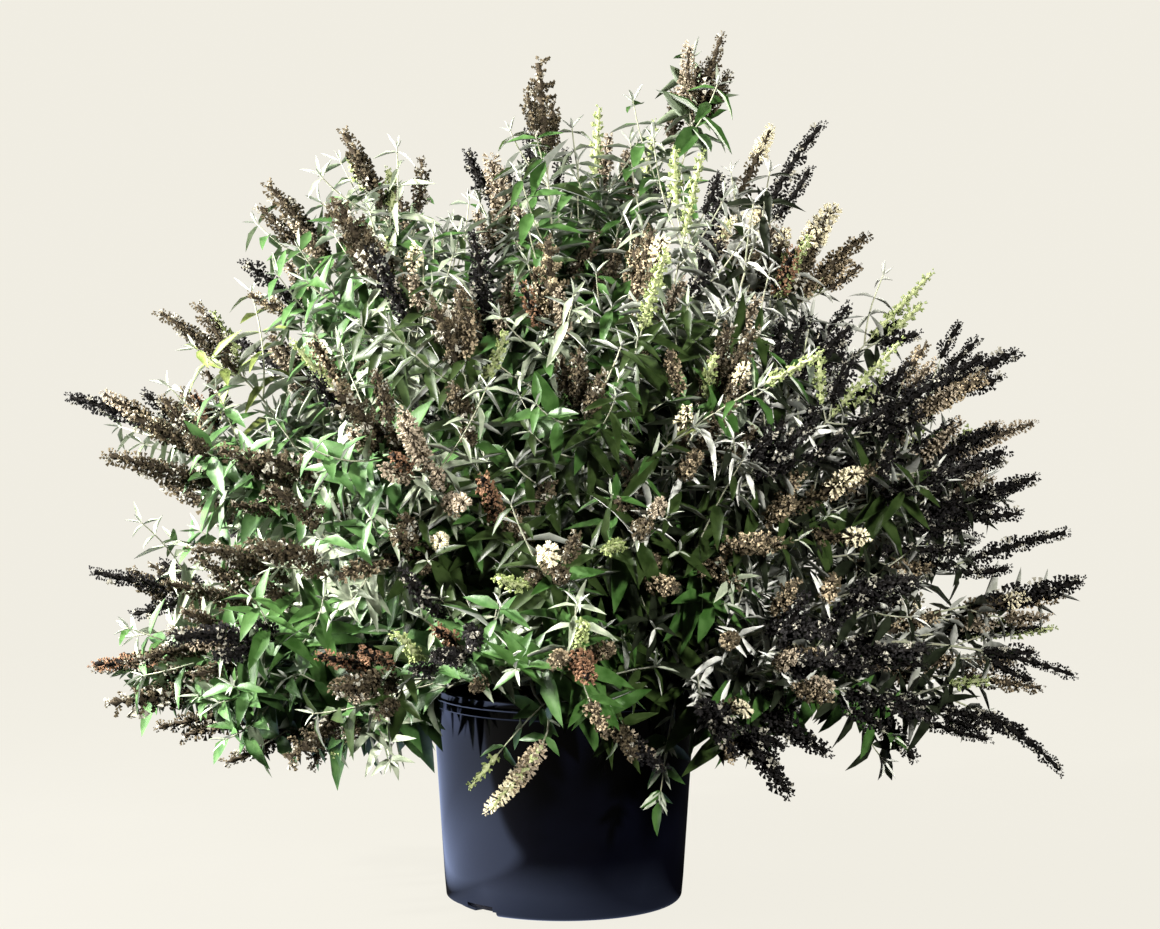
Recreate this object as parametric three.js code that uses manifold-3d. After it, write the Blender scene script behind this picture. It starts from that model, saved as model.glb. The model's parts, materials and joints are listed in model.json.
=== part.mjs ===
// A butterfly bush (Buddleja davidii) in a round nursery container, late in its season.
// Millimetres, +Z up. The origin is the centre of the container's flat underside.
//
// The container holds a plug of soil, and a short pruned stool stands on the soil. Twenty boughs
// leave the stool's round head, and each carries one mass of foliage: shoots that branch off one
// stem, with opposite leaves and a flower spike at every tip. The head's centre is the apex of
// twenty cones, one for each bough and its mass, and nothing leaves the cone that it grows in.

import * as THREE from "three";
import { mergeVertices } from "three/addons/utils/BufferGeometryUtils.js";
import Module from "manifold-3d";

const wasm = await Module();
wasm.setup();

// ---------------------------------------------------------------- driving dimensions

const GAP = 0.3; // between pieces that touch on the real plant
const RADIANS = Math.PI / 180;
const GOLDEN_TURN = Math.PI * (3 - Math.sqrt(5));

const POT = {
  height: 300,
  footRadius: 163, // outside of the wall at the floor
  brimRadius: 182, // outside of the wall, carried up to the brim
  wall: 3,
  floor: 4,
  footRound: 9, // radius of the corner between floor and wall
  bandHeight: 26, // the thicker band round the brim
  bandStand: 3,
  bandEdge: 2,
  sides: 40,
};

// Each bay lifts the edge of the foot over part of a turn; its drain is a deeper slot at one end.
const BAY = { first: 180, arc: 56, depth: 13, lift: 7 };
const DRAIN = { first: 217, arc: 17, depth: 30, lift: 14 };
const BAY_TURNS = [0, 180];
const CUTTER_SPARE = 10; // how far a cutter stands out of what it cuts

const SOIL = { top: 272, crown: 8, slack: 1, level: 55, sides: 32 }; // highest and level round the stool

const STOOL = {
  head: new THREE.Vector3(6, 4, 334), // centre of the round head, a little off the container's axis
  headRadius: 30,
  headLow: -22, // where the head springs from the waist, from its centre
  headHigh: 27,
  headRings: 7,
  knobs: { least: 0.93, spread: 0.05 }, // of the head's radius, from ring to ring
  flare: [
    { at: 0, radius: 41 },
    { at: 0.07, radius: 32 },
    { at: 0.18, radius: 24 },
    { at: 0.34, radius: 22 },
  ],
  sides: 12,
};

const BOUGH = { baseRadius: 6, tipRadius: 4.3, bow: 9, bowPoints: 9, sides: 5, spans: 4 };

// Reach of the crown from the stool's head along X, Y and Z.
const CROWN = { side: 702, front: 660, up: 800 };
const DRAW_IN = 0.9; // how fast the reach falls off below the head
const SHOOTS = {
  count: 128,
  lowest: -14, // degrees under the head's level
  turnSpread: 8, // degrees, as the next three are
  riseSpread: 6,
  leanLeast: -4, // how far a spike leans out from the line of its reach
  leanMost: 20,
  reachLeast: 0.82, // of the crown's reach
  reachMost: 1.01,
};

// Rings of boughs from the lowest to the one upright one. Angles are in degrees, turn 0 is +X.
const TIERS = [
  { name: "skirt", count: 8, start: 35, rise: 4, bough: 208 },
  { name: "flank", count: 7, start: 30, rise: 32, bough: 205 },
  { name: "shoulder", count: 4, start: 20, rise: 60, bough: 195 },
  { name: "top", count: 1, start: 0, rise: 90, bough: 190 },
];

// Shoots that stand out of the crown's outline: where the tip is, and where its spike points.
const LEADERS = [
  { turn: 8, rise: 75.6, reach: 880, aimTurn: 5, aimRise: 71 },
  { turn: 200, rise: 87, reach: 818, aimTurn: 180, aimRise: 86 },
  { turn: 184, rise: 67, reach: 785, aimTurn: 180, aimRise: 60 },
  { turn: 176, rise: 57.5, reach: 772, aimTurn: 180, aimRise: 47 },
  { turn: 190, rise: 51, reach: 704, aimTurn: 184, aimRise: 36 },
  { turn: 180, rise: 27.6, reach: 775, aimTurn: 180, aimRise: 14 },
  { turn: 186, rise: 11, reach: 662, aimTurn: 184, aimRise: 12 },
  { turn: 3, rise: 64.5, reach: 812, aimTurn: 0, aimRise: 30 },
  { turn: 352, rise: 47.5, reach: 728, aimTurn: 356, aimRise: 40 },
  { turn: 6, rise: 33.5, reach: 756, aimTurn: 2, aimRise: 22 },
  { turn: 356, rise: 9, reach: 712, aimTurn: 0, aimRise: 14 },
  { turn: 354.5, rise: -12.6, reach: 694, aimTurn: 0, aimRise: -48 },
  { turn: 257, rise: -16.5, reach: 465, aimTurn: 190, aimRise: -44 },
];

const STEM = { baseRadius: 4.3, tipRadius: 2.6, spans: 4, bareRoot: 20 };
const TWIG = { baseRadius: 2.8, tipRadius: 2.1, spans: 2, bareRoot: 45 };
const TWIG_SIDES = 4; // young stems are square in section
const FORKS = { first: 0.03, last: 0.42, spreads: [1.1, 0.6, 0.3], margin: 4 }; // places on the stem
const BEND = { leaving: 0.3, arriving: 0.42 }; // handles of a shoot's curve, of its span
const SPIKE = {
  length: 135,
  lengthSpread: 40,
  radius: 16,
  swell: [{ along: 0.2, radius: 1 }, { along: 0.64, radius: 0.78 }, { along: 1, radius: 0 }],
};
const LEAF = {
  length: 126,
  lengthSpread: 36,
  width: 0.31, // of the length, as the next three are
  widest: 0.42,
  arch: 0.11,
  fold: 0.055,
  forward: [0.62, 1.5], // towards the shoot's tip, against 1 straight out from it
  droop: 0.25,
  step: 104, // from one pair to the next
};
const SPACE_MARGIN = 1; // from a mass to the side of its cone
const SPIKE_MARGIN = SPIKE.radius + 3;
const LOWEST_LEAF = 100; // above the ground
const DRAW_STEP = 0.03; // share of the way to the axis that a tip moves at a time
const SMALLEST_EDGE = 0.1;

// ---------------------------------------------------------------- numbers and directions

/** A well spread number from 0 to 1 that depends only on two whole numbers. */
function chance(key, salt) {
  const prime = 65521;
  const mixed = (key * 40503 + salt * 9973 + 7) % prime;
  const squared = (mixed * mixed + salt * 331) % prime;
  return ((squared * 31337 + key) % prime) / prime;
}

/** A unit vector from a turn about Z and a rise over the horizontal, both in degrees. */
function heading(turn, rise) {
  const flat = Math.cos(rise * RADIANS);
  return new THREE.Vector3(
    flat * Math.cos(turn * RADIANS),
    flat * Math.sin(turn * RADIANS),
    Math.sin(rise * RADIANS),
  );
}

/** A unit vector square to the given one. */
function squareTo(direction) {
  const helper = Math.abs(direction.z) < 0.8 ? new THREE.Vector3(0, 0, 1) : new THREE.Vector3(1, 0, 0);
  return new THREE.Vector3().crossVectors(direction, helper).normalize();
}

// ---------------------------------------------------------------- solids

/** A closed three.js geometry as a manifold solid. */
function solidOf(geometry) {
  const bare = geometry.clone();
  bare.deleteAttribute("normal");
  bare.deleteAttribute("uv");
  const merged = mergeVertices(bare, 1e-4);
  return new wasm.Manifold(new wasm.Mesh({
    numProp: 3,
    vertProperties: new Float32Array(merged.attributes.position.array),
    triVerts: new Uint32Array(merged.index.array),
  }));
}

/** A manifold solid as a three.js geometry. */
function geometryOf(solid) {
  const mesh = solid.getMesh();
  const geometry = new THREE.BufferGeometry();
  geometry.setAttribute("position", new THREE.BufferAttribute(new Float32Array(mesh.vertProperties), 3));
  geometry.setIndex(new THREE.BufferAttribute(new Uint32Array(mesh.triVerts), 1));
  geometry.computeVertexNormals();
  return geometry;
}

/** The cross-section of a limb at a place on its curve: its centre, its tangent and two sides. */
function crossSection(curve, at, roll) {
  const chord = curve.getPointAt(1).sub(curve.getPointAt(0)).normalize();
  const reference = squareTo(chord).applyAxisAngle(chord, roll);
  const tangent = curve.getTangentAt(at);
  const across = new THREE.Vector3().crossVectors(tangent, reference).normalize();
  const upward = new THREE.Vector3().crossVectors(across, tangent).normalize();
  return { centre: curve.getPointAt(at), tangent, upward, across };
}

/**
 * A closed limb of changing thickness along a curve. A station has its place on the curve, from 0
 * to 1 of its length, and its radius. Radius 0 at the last one closes the limb in a point.
 */
function limb(curve, stations, sides, roll = 0) {
  const positions = [];
  const faces = [];
  const rings = stations.map(({ at, radius }) => {
    const section = crossSection(curve, at, roll);
    const ring = [];
    for (let side = 0; side < (radius > 0 ? sides : 1); side += 1) {
      const angle = (side / sides) * Math.PI * 2;
      const point = section.centre.clone()
        .addScaledVector(section.upward, radius * Math.cos(angle))
        .addScaledVector(section.across, radius * Math.sin(angle));
      ring.push(positions.length / 3);
      positions.push(point.x, point.y, point.z);
    }
    return ring;
  });
  for (let index = 1; index < rings.length; index += 1) {
    const near = rings[index - 1];
    const far = rings[index];
    for (let side = 0; side < sides; side += 1) {
      const next = (side + 1) % sides;
      faces.push(near[side], near[next], far[side % far.length]);
      if (far.length > 1) faces.push(near[next], far[next], far[side]);
    }
  }
  const first = rings[0];
  const last = rings[rings.length - 1];
  for (let side = 1; side + 1 < sides; side += 1) {
    faces.push(first[0], first[side + 1], first[side]);
    if (last.length > 1) faces.push(last[0], last[side], last[side + 1]);
  }
  const geometry = new THREE.BufferGeometry();
  geometry.setAttribute("position", new THREE.Float32BufferAttribute(positions, 3));
  geometry.setIndex(faces);
  return geometry;
}

/** Stations of a limb that thins evenly from one place on its curve to another. */
function taper(from, to, baseRadius, tipRadius, spans) {
  return Array.from({ length: spans + 1 }, (_, index) => ({
    at: THREE.MathUtils.lerp(from, to, index / spans),
    radius: THREE.MathUtils.lerp(baseRadius, tipRadius, index / spans),
  }));
}

/** A ring sector that cuts a depth into the container's foot, up to a height over the ground. */
function footCutter({ first, arc, depth, lift }, turn) {
  const from = (first + turn) * RADIANS;
  const to = (first + turn + arc) * RADIANS;
  const shape = new THREE.Shape();
  shape.absarc(0, 0, POT.footRadius + CUTTER_SPARE, from, to, false);
  shape.absarc(0, 0, POT.footRadius - depth, to, from, true);
  shape.closePath();
  const extrusion = { depth: lift + CUTTER_SPARE, bevelEnabled: false, curveSegments: 6 };
  return solidOf(new THREE.ExtrudeGeometry(shape, extrusion).translate(0, 0, -CUTTER_SPARE));
}

// ---------------------------------------------------------------- container and soil

/** Outside radius of the container's wall at a height. */
function wallRadius(height) {
  return THREE.MathUtils.lerp(POT.footRadius, POT.brimRadius, height / POT.height);
}

function potGeometry() {
  const corner = new THREE.EllipseCurve(
    POT.footRadius - POT.footRound, POT.footRound, POT.footRound, POT.footRound, -Math.PI / 2, 0,
  );
  const profile = [new THREE.Vector2(0, 0), ...corner.getPoints(3)];
  const bandFoot = POT.height - POT.bandHeight;
  profile.push(
    new THREE.Vector2(wallRadius(bandFoot), bandFoot),
    new THREE.Vector2(wallRadius(bandFoot) + POT.bandStand, bandFoot + POT.bandEdge),
    new THREE.Vector2(wallRadius(POT.height) + POT.bandStand, POT.height - POT.bandEdge),
    new THREE.Vector2(wallRadius(POT.height) + POT.bandStand - POT.bandEdge, POT.height),
    new THREE.Vector2(wallRadius(POT.height) - POT.wall, POT.height),
    new THREE.Vector2(wallRadius(POT.floor) - POT.wall, POT.floor + POT.footRound),
    new THREE.Vector2(wallRadius(POT.floor) - POT.wall - POT.footRound, POT.floor),
    new THREE.Vector2(0, POT.floor),
  );
  let pot = solidOf(new THREE.LatheGeometry(profile, POT.sides).rotateX(Math.PI / 2));
  BAY_TURNS.forEach((turn) => {
    pot = pot.subtract(footCutter(BAY, turn)).subtract(footCutter(DRAIN, turn));
  });
  return geometryOf(pot);
}

/** The plug of soil: it keeps clear of the wall's flats and its top falls away towards the wall. */
function soilGeometry() {
  const clear = GAP + SOIL.slack;
  const inside = (height) => (wallRadius(height) - POT.wall) * Math.cos(Math.PI / POT.sides) - clear;
  const shoulder = SOIL.top - SOIL.crown;
  const profile = [
    new THREE.Vector2(0, POT.floor + GAP),
    new THREE.Vector2(inside(POT.floor) - POT.footRound, POT.floor + GAP),
    new THREE.Vector2(inside(POT.floor), POT.floor + POT.footRound + SOIL.slack),
    new THREE.Vector2(inside(shoulder), shoulder),
    new THREE.Vector2((inside(shoulder) + SOIL.level) / 2, SOIL.top - 0.3 * SOIL.crown),
    new THREE.Vector2(SOIL.level, SOIL.top),
    new THREE.Vector2(0, SOIL.top),
  ];
  return new THREE.LatheGeometry(profile, SOIL.sides).rotateX(Math.PI / 2);
}

// ---------------------------------------------------------------- stool and boughs

/** The pruned stool: a flat cut on the soil, root flare, waist and the knobbly round head. */
function stoolGeometry() {
  const { head, headRadius, headLow, headHigh, headRings, knobs } = STOOL;
  const above = (height) => head.clone().add(new THREE.Vector3(0, 0, height));
  const curve = new THREE.CubicBezierCurve3(
    new THREE.Vector3(0, 0, SOIL.top + GAP),
    new THREE.Vector3(0, 0, head.z - headRadius),
    above(0.5 * headLow),
    above(headHigh),
  );
  const stations = [...STOOL.flare];
  for (let ring = 0; ring < headRings; ring += 1) {
    const height = THREE.MathUtils.lerp(headLow, headHigh, ring / (headRings - 1));
    const round = Math.sqrt(headRadius ** 2 - height ** 2);
    stations.push({
      at: 1 - (headHigh - height) / curve.getLength(),
      radius: round * (knobs.least + knobs.spread * chance(ring, 3)),
    });
  }
  return limb(curve, stations, STOOL.sides);
}

/** One entry for each bough: its name, its axis and its length from the centre of the head. */
const BOUGHS = TIERS.flatMap((tier) => Array.from({ length: tier.count }, (_, index) => ({
  name: tier.count > 1 ? `${tier.name}_${index + 1}` : tier.name,
  axis: heading(tier.start + (index * 360) / tier.count, tier.rise),
  length: tier.bough,
})));

// The side planes of each cone, as unit vectors that point into it.
BOUGHS.forEach((bough) => {
  bough.sides = BOUGHS.filter((other) => other !== bough)
    .map((other) => bough.axis.clone().sub(other.axis).normalize());
});

/** A bough runs out along its axis with one shallow bow, and both its ends are square to the axis. */
function boughGeometry(bough, number) {
  const sideways = squareTo(bough.axis).applyAxisAngle(bough.axis, chance(number, 11) * Math.PI * 2);
  const start = STOOL.headRadius + GAP;
  const points = Array.from({ length: BOUGH.bowPoints }, (_, index) => {
    const along = index / (BOUGH.bowPoints - 1);
    return bough.axis.clone()
      .multiplyScalar(THREE.MathUtils.lerp(start, bough.length, along))
      .addScaledVector(sideways, BOUGH.bow * Math.sin(Math.PI * along) ** 2);
  });
  const stations = taper(0, 1, BOUGH.baseRadius, BOUGH.tipRadius, BOUGH.spans);
  return limb(new THREE.CatmullRomCurve3(points), stations, BOUGH.sides);
}

// ---------------------------------------------------------------- shoot tips

/** How far the crown reaches from the stool's head in a direction. It draws in below the head. */
function reachAt(direction) {
  const reach = 1 / Math.hypot(direction.x / CROWN.side, direction.y / CROWN.front, direction.z / CROWN.up);
  return reach * Math.min(1, 1 + DRAW_IN * direction.z);
}

/** The tips of all shoots, spread evenly over the crown, with the leaders in their places. */
function shootTips() {
  const tips = [];
  const lowest = Math.sin(SHOOTS.lowest * RADIANS);
  for (let index = 0; index < SHOOTS.count; index += 1) {
    const height = 1 - ((index + 0.5) / SHOOTS.count) * (1 - lowest);
    const turn = (index * GOLDEN_TURN) / RADIANS + SHOOTS.turnSpread * (chance(index, 1) - 0.5);
    const rise = Math.asin(height) / RADIANS + SHOOTS.riseSpread * (chance(index, 2) - 0.5);
    const direction = heading(turn, rise);
    const lean = THREE.MathUtils.lerp(SHOOTS.leanLeast, SHOOTS.leanMost, chance(index, 4));
    const share = THREE.MathUtils.lerp(SHOOTS.reachLeast, SHOOTS.reachMost, chance(index, 3));
    tips.push({
      direction,
      reach: reachAt(direction) * share,
      aim: heading(turn, rise - lean),
      spike: SPIKE.length + SPIKE.lengthSpread * (chance(index, 5) - 0.5),
      key: index,
    });
  }
  LEADERS.forEach((leader) => {
    const direction = heading(leader.turn, leader.rise);
    const nearest = tips.filter((tip) => !tip.leads)
      .reduce((best, tip) => (tip.direction.dot(direction) > best.direction.dot(direction) ? tip : best));
    nearest.direction = direction;
    nearest.reach = leader.reach;
    nearest.aim = heading(leader.aimTurn, leader.aimRise);
    nearest.leads = true;
  });
  return tips;
}

/** Hands each tip to the bough with the nearest axis, and draws it in from the cone's sides. */
function dealTips() {
  const dealt = new Map(BOUGHS.map((bough) => [bough, []]));
  shootTips().forEach((tip) => {
    const bough = BOUGHS.reduce((best, other) => (
      other.axis.dot(tip.direction) > best.axis.dot(tip.direction) ? other : best));
    const inward = tip.direction;
    while (bough.sides.some((side) => side.dot(inward) * tip.reach < SPIKE_MARGIN)) {
      inward.lerp(bough.axis, DRAW_STEP).normalize();
    }
    tip.point = inward.clone().multiplyScalar(tip.reach);
    dealt.get(bough).push(tip);
  });
  return dealt;
}

// ---------------------------------------------------------------- foliage

/** Whether all points lie in a bough's cone, past the end of the bough and clear of the ground. */
function fits(points, bough, margin) {
  return points.every((point) => point.dot(bough.axis) > bough.length + GAP
    && point.z + STOOL.head.z > LOWEST_LEAF
    && bough.sides.every((side) => side.dot(point) > margin));
}

/** The path of a shoot: it leaves its root along one direction and ends along the tip's aim. */
function shootCurve(root, leaving, tip, bough) {
  const span = root.distanceTo(tip.point);
  const aims = [tip.aim, tip.aim.clone().add(tip.direction).normalize(), tip.direction];
  const handles = aims.map((aim) => tip.point.clone().addScaledVector(aim, -BEND.arriving * span));
  const handle = handles.find((point) => fits([point], bough, SPIKE_MARGIN)) ?? handles[2];
  const firstHandle = root.clone().addScaledVector(leaving, BEND.leaving * span);
  return new THREE.CubicBezierCurve3(root, firstHandle, handle, tip.point);
}

/** A shoot from root to tip: an even four-sided twig that swells into the spindle of its spike. */
function shootGeometry(curve, tip, twig) {
  const spikeFoot = 1 - tip.spike / curve.getLength();
  const stations = taper(0, spikeFoot, twig.baseRadius, twig.tipRadius, twig.spans);
  SPIKE.swell.forEach(({ along, radius }) => {
    stations.push({ at: THREE.MathUtils.lerp(spikeFoot, 1, along), radius: radius * SPIKE.radius });
  });
  return limb(curve, stations, TWIG_SIDES, rollOf(tip));
}

/** How far a shoot's square twig is turned about its own length. */
function rollOf(tip) {
  return chance(tip.key, 7) * Math.PI;
}

/** A leaf of six faces: a kite that is folded along its rib and arched over from root to point. */
function leafGeometry(root, along, upward, length) {
  const across = new THREE.Vector3().crossVectors(upward, along).normalize();
  const middle = root.clone()
    .addScaledVector(along, LEAF.widest * length)
    .addScaledVector(upward, LEAF.arch * length);
  const halfWidth = 0.5 * LEAF.width * length;
  const corners = [
    root,
    root.clone().addScaledVector(along, length),
    middle.clone().addScaledVector(across, halfWidth),
    middle.clone().addScaledVector(across, -halfWidth),
    middle.clone().addScaledVector(upward, -LEAF.fold * length),
  ];
  const geometry = new THREE.BufferGeometry().setFromPoints(corners);
  geometry.setIndex([0, 3, 2, 1, 2, 3, 0, 2, 4, 3, 0, 4, 2, 1, 4, 1, 3, 4]);
  return geometry;
}

/** The corners of a leaf, and points along its edges. */
function outlinePoints(geometry) {
  const position = geometry.attributes.position;
  const corners = Array.from({ length: position.count }, (_, index) => (
    new THREE.Vector3().fromBufferAttribute(position, index)));
  const between = corners.slice(1).map((corner) => corner.clone().lerp(corners[0], 0.5));
  return corners.concat(between);
}

/** A leaf that fits the cone, spread wide or else laid forward along its twig, or null. */
function leafThatFits(section, outward, size, bough) {
  const leaves = LEAF.forward.map((forward) => {
    const along = outward.clone().addScaledVector(section.tangent, forward);
    along.z -= LEAF.droop;
    along.normalize();
    const face = section.tangent.clone().addScaledVector(along, -section.tangent.dot(along)).normalize();
    return leafGeometry(section.centre, along, face, size);
  });
  return leaves.find((leaf) => fits(outlinePoints(leaf), bough, SPACE_MARGIN)) ?? null;
}

/** Opposite leaves on a twig's flat sides, each pair a quarter turn on from the last. */
function leavesAlong(curve, tip, leafyFrom, bough) {
  const leaves = [];
  const length = curve.getLength();
  const leafy = length - tip.spike - leafyFrom;
  const pairs = Math.max(1, Math.round(leafy / LEAF.step));
  for (let pair = 0; pair < pairs; pair += 1) {
    const section = crossSection(curve, (leafyFrom + ((pair + 0.6) / pairs) * leafy) / length, rollOf(tip));
    for (let half = 0; half < 2; half += 1) {
      const angle = Math.PI * (0.25 + 0.5 * pair + half);
      const outward = section.upward.clone().multiplyScalar(Math.cos(angle))
        .addScaledVector(section.across, Math.sin(angle));
      const size = LEAF.length + LEAF.lengthSpread * (chance(tip.key, 20 + pair * 2 + half) - 0.5);
      const leaf = leafThatFits(section, outward, size, bough);
      if (leaf) leaves.push(leaf);
    }
  }
  return leaves;
}

/** Where a side shoot leaves its stem, and in which direction. The inner ones leave further out. */
function forkOf(stem, rank, tip, bough) {
  const at = THREE.MathUtils.lerp(FORKS.last, FORKS.first, rank);
  const root = stem.getPointAt(at);
  const tangent = stem.getTangentAt(at);
  const outward = tip.point.clone().sub(root);
  outward.addScaledVector(tangent, -outward.dot(tangent)).normalize();
  const span = BEND.leaving * root.distanceTo(tip.point);
  const spread = FORKS.spreads
    .map((share) => tangent.clone().addScaledVector(outward, share).normalize())
    .find((leaving) => fits([root.clone().addScaledVector(leaving, span)], bough, FORKS.margin));
  return { root, leaving: spread ?? tangent };
}

/** One mass: a stem from its bough's end to the most central tip, and shoots off it to the rest. */
function massGeometry(bough, tips) {
  const byCentre = [...tips].sort((a, b) => b.direction.dot(bough.axis) - a.direction.dot(bough.axis));
  const foot = bough.axis.clone().multiplyScalar(bough.length + GAP);
  const stemTip = byCentre[0];
  const stem = shootCurve(foot, bough.axis, stemTip, bough);
  const solids = [
    shootGeometry(stem, stemTip, STEM),
    ...leavesAlong(stem, stemTip, STEM.bareRoot, bough),
  ];
  byCentre.slice(1).forEach((tip, index) => {
    const { root, leaving } = forkOf(stem, (index + 1) / byCentre.length, tip, bough);
    const curve = shootCurve(root, leaving, tip, bough);
    solids.push(shootGeometry(curve, tip, TWIG), ...leavesAlong(curve, tip, TWIG.bareRoot, bough));
  });
  const fused = wasm.Manifold.union(solids.map(solidOf)).asOriginal().simplify(SMALLEST_EDGE);
  const whole = fused.decompose().sort((a, b) => b.volume() - a.volume())[0];
  return geometryOf(whole);
}

// ---------------------------------------------------------------- the plant

const FINISH = {
  pot: { color: 0x171a28, roughness: 0.32, metalness: 0 },
  soil: { color: 0x2c211a, roughness: 0.97, metalness: 0 },
  bark: { color: 0x7d6a50, roughness: 0.9, metalness: 0 },
  stem: { color: 0x8d8a66, roughness: 0.8, metalness: 0 },
  foliage: { color: 0x4f6e3d, roughness: 0.7, metalness: 0 },
};

/** A named mesh with a material of its own. */
function piece(name, geometry, finish) {
  const mesh = new THREE.Mesh(geometry, new THREE.MeshStandardMaterial({ ...finish }));
  mesh.name = name;
  return mesh;
}

const bush = new THREE.Group();
bush.add(
  piece("pot", potGeometry(), FINISH.pot),
  piece("soil", soilGeometry(), FINISH.soil),
  piece("stool", stoolGeometry(), FINISH.bark),
);

// Boughs and foliage are made about the head's centre, and one group carries them there.
const crown = new THREE.Group();
crown.position.copy(STOOL.head);
dealTips().forEach((tips, bough) => {
  const number = BOUGHS.indexOf(bough);
  crown.add(
    piece(`bough_${bough.name}`, boughGeometry(bough, number), FINISH.stem),
    piece(`foliage_${bough.name}`, massGeometry(bough, tips), FINISH.foliage),
  );
});
bush.add(crown);

export default bush;
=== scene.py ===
# %% [markdown]
# # A butterfly bush in its nursery pot
#
# This lesson dresses a plain solid model of a potted shrub until it looks like the living plant. The
# solids give the true sizes: a glossy pot, its soil, a pruned stool, twenty boughs and twenty masses
# of foliage. The lesson grows the plant again by the same rule, and carries it on to fine twigs,
# single leaves and flower spikes. It is late in the season, so most spikes are spent and dark.
#
# Every length is in metres, Z is up, and the origin is the middle of the pot's underside.

# %% The solid model as a fixed frame
import json
import math
from bisect import bisect_right

import bmesh
import bpy
from mathutils import Matrix, Quaternion, Vector, noise

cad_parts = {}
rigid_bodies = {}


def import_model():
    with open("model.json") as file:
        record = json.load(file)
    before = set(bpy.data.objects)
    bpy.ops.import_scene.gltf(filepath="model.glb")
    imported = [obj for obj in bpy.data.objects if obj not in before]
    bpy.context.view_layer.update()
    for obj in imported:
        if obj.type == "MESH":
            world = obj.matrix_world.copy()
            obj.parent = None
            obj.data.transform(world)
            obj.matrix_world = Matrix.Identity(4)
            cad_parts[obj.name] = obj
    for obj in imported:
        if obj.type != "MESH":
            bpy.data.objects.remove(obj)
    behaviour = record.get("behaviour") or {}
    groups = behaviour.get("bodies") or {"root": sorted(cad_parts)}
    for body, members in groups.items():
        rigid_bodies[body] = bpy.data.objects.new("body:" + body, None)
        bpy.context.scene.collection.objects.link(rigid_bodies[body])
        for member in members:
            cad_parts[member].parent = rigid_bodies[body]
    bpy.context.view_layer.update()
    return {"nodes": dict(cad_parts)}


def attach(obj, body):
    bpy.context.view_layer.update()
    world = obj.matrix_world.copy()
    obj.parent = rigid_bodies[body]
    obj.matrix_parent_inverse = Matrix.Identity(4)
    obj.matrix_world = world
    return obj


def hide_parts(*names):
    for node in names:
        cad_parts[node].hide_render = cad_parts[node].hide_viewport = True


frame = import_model()
NODES = sorted(frame["nodes"])
BOUGH_NODES = [name for name in NODES if name.startswith("bough_")]
FOLIAGE_NODES = [name for name in NODES if name.startswith("foliage_")]
print("nodes:", len(NODES), "with", len(BOUGH_NODES), "boughs and", len(FOLIAGE_NODES), "masses")

# %% [markdown]
# ## The camera
#
# A plant portrait is taken from some way off with a long lens, so that near leaves don't loom over
# far ones. The camera stands four and a half metres away and looks a little down.

# %% Place the camera
EYE = Vector((0.022, -4.5, 1.0))
LOOKED_AT = Vector((0.022, 0.0, 0.6))
FOCAL_LENGTH = 102.4  # millimetres, behind which lies a sensor of this width
SENSOR_WIDTH = 36.0

lens = bpy.data.cameras.new("portrait_camera")
lens.lens = FOCAL_LENGTH
lens.sensor_width = SENSOR_WIDTH
camera = bpy.data.objects.new("portrait_camera", lens)
camera.location = EYE
camera.rotation_euler = (LOOKED_AT - EYE).to_track_quat("-Z", "Y").to_euler()
bpy.context.scene.collection.objects.link(camera)
bpy.context.scene.camera = camera
print("camera stands", round((LOOKED_AT - EYE).length, 2), "m from the plant")

# %% [markdown]
# ## Lamps
#
# Outdoors one sun and a wide sky light a plant. A studio does the same with lamps. The small key
# lamp on the upper left is the sun: it gives hard highlights and deep shade. Two windows on the left
# stand for the sky. Weak lamps behind and on the right keep the far sides readable, and a spot picks
# out the dark right edge. The weak lamps can't be mirrored, so that dark leaves and the pot stay
# dark. One card close to the pot puts a bluish band into its gloss.

# %% Hang the lamps
CROWN_MIDDLE = (0.0, 0.0, 0.62)
KEY_PLACE = Vector((-3.7, -1.5, 3.0))
SUN = (1.0, 0.97, 0.93)
SKY = (1.0, 0.99, 0.97)
FILL = (1.0, 0.98, 0.95)
CARD_BLUE = (0.42, 0.52, 1.0)
LAMPS = {
    # place, the point that it shines at, side of the square, power, colour, whether gloss mirrors it
    "key_lamp": (KEY_PLACE, CROWN_MIDDLE, 0.3, 970, SUN, True),
    "left_window": ((-2.8, -0.35, 1.6), CROWN_MIDDLE, 1.8, 235, SKY, True),
    "back_lamp": ((-1.6, 3.4, 2.6), CROWN_MIDDLE, 1.2, 90, FILL, False),
    "right_spot": ((1.9, -4.0, 1.6), CROWN_MIDDLE, 0.35, 345, FILL, False),
    "low_window": ((-2.4, -0.3, 0.9), (-0.4, 0.0, 0.6), 1.2, 180, FILL, False),
    "side_lamp": ((3.0, 1.9, 1.4), CROWN_MIDDLE, 1.0, 170, FILL, False),
    "pot_card": ((-1.1, 0.5, 0.4), (0.0, 0.5, 0.4), 1.5, 5.0, CARD_BLUE, True),
}


def add_lamp(name, place, target, size, power, colour, mirrored):
    """A square lamp that shines at a point."""
    light = bpy.data.lights.new(name, "AREA")
    light.shape = "SQUARE"
    light.size = size
    light.energy = power
    light.color = colour
    lamp = bpy.data.objects.new(name, light)
    lamp.location = place
    lamp.rotation_euler = (Vector(target) - Vector(place)).to_track_quat("-Z", "Y").to_euler()
    lamp.visible_camera = False
    lamp.visible_glossy = mirrored
    bpy.context.scene.collection.objects.link(lamp)


for name, row in LAMPS.items():
    add_lamp(name, *row)
print("lamps:", ", ".join(LAMPS))

# %% [markdown]
# ## The room
#
# A pale room has no edges to look at, so a plain world colour can stand for it. The camera should
# see a bright cream wall, but so much light from all sides would wipe out the shade in the crown. A
# Light Path node tells camera rays from all others, and the others get a very weak light.
#
# The helper adds one node to a tree, with its settings and with what feeds its inputs.

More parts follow.
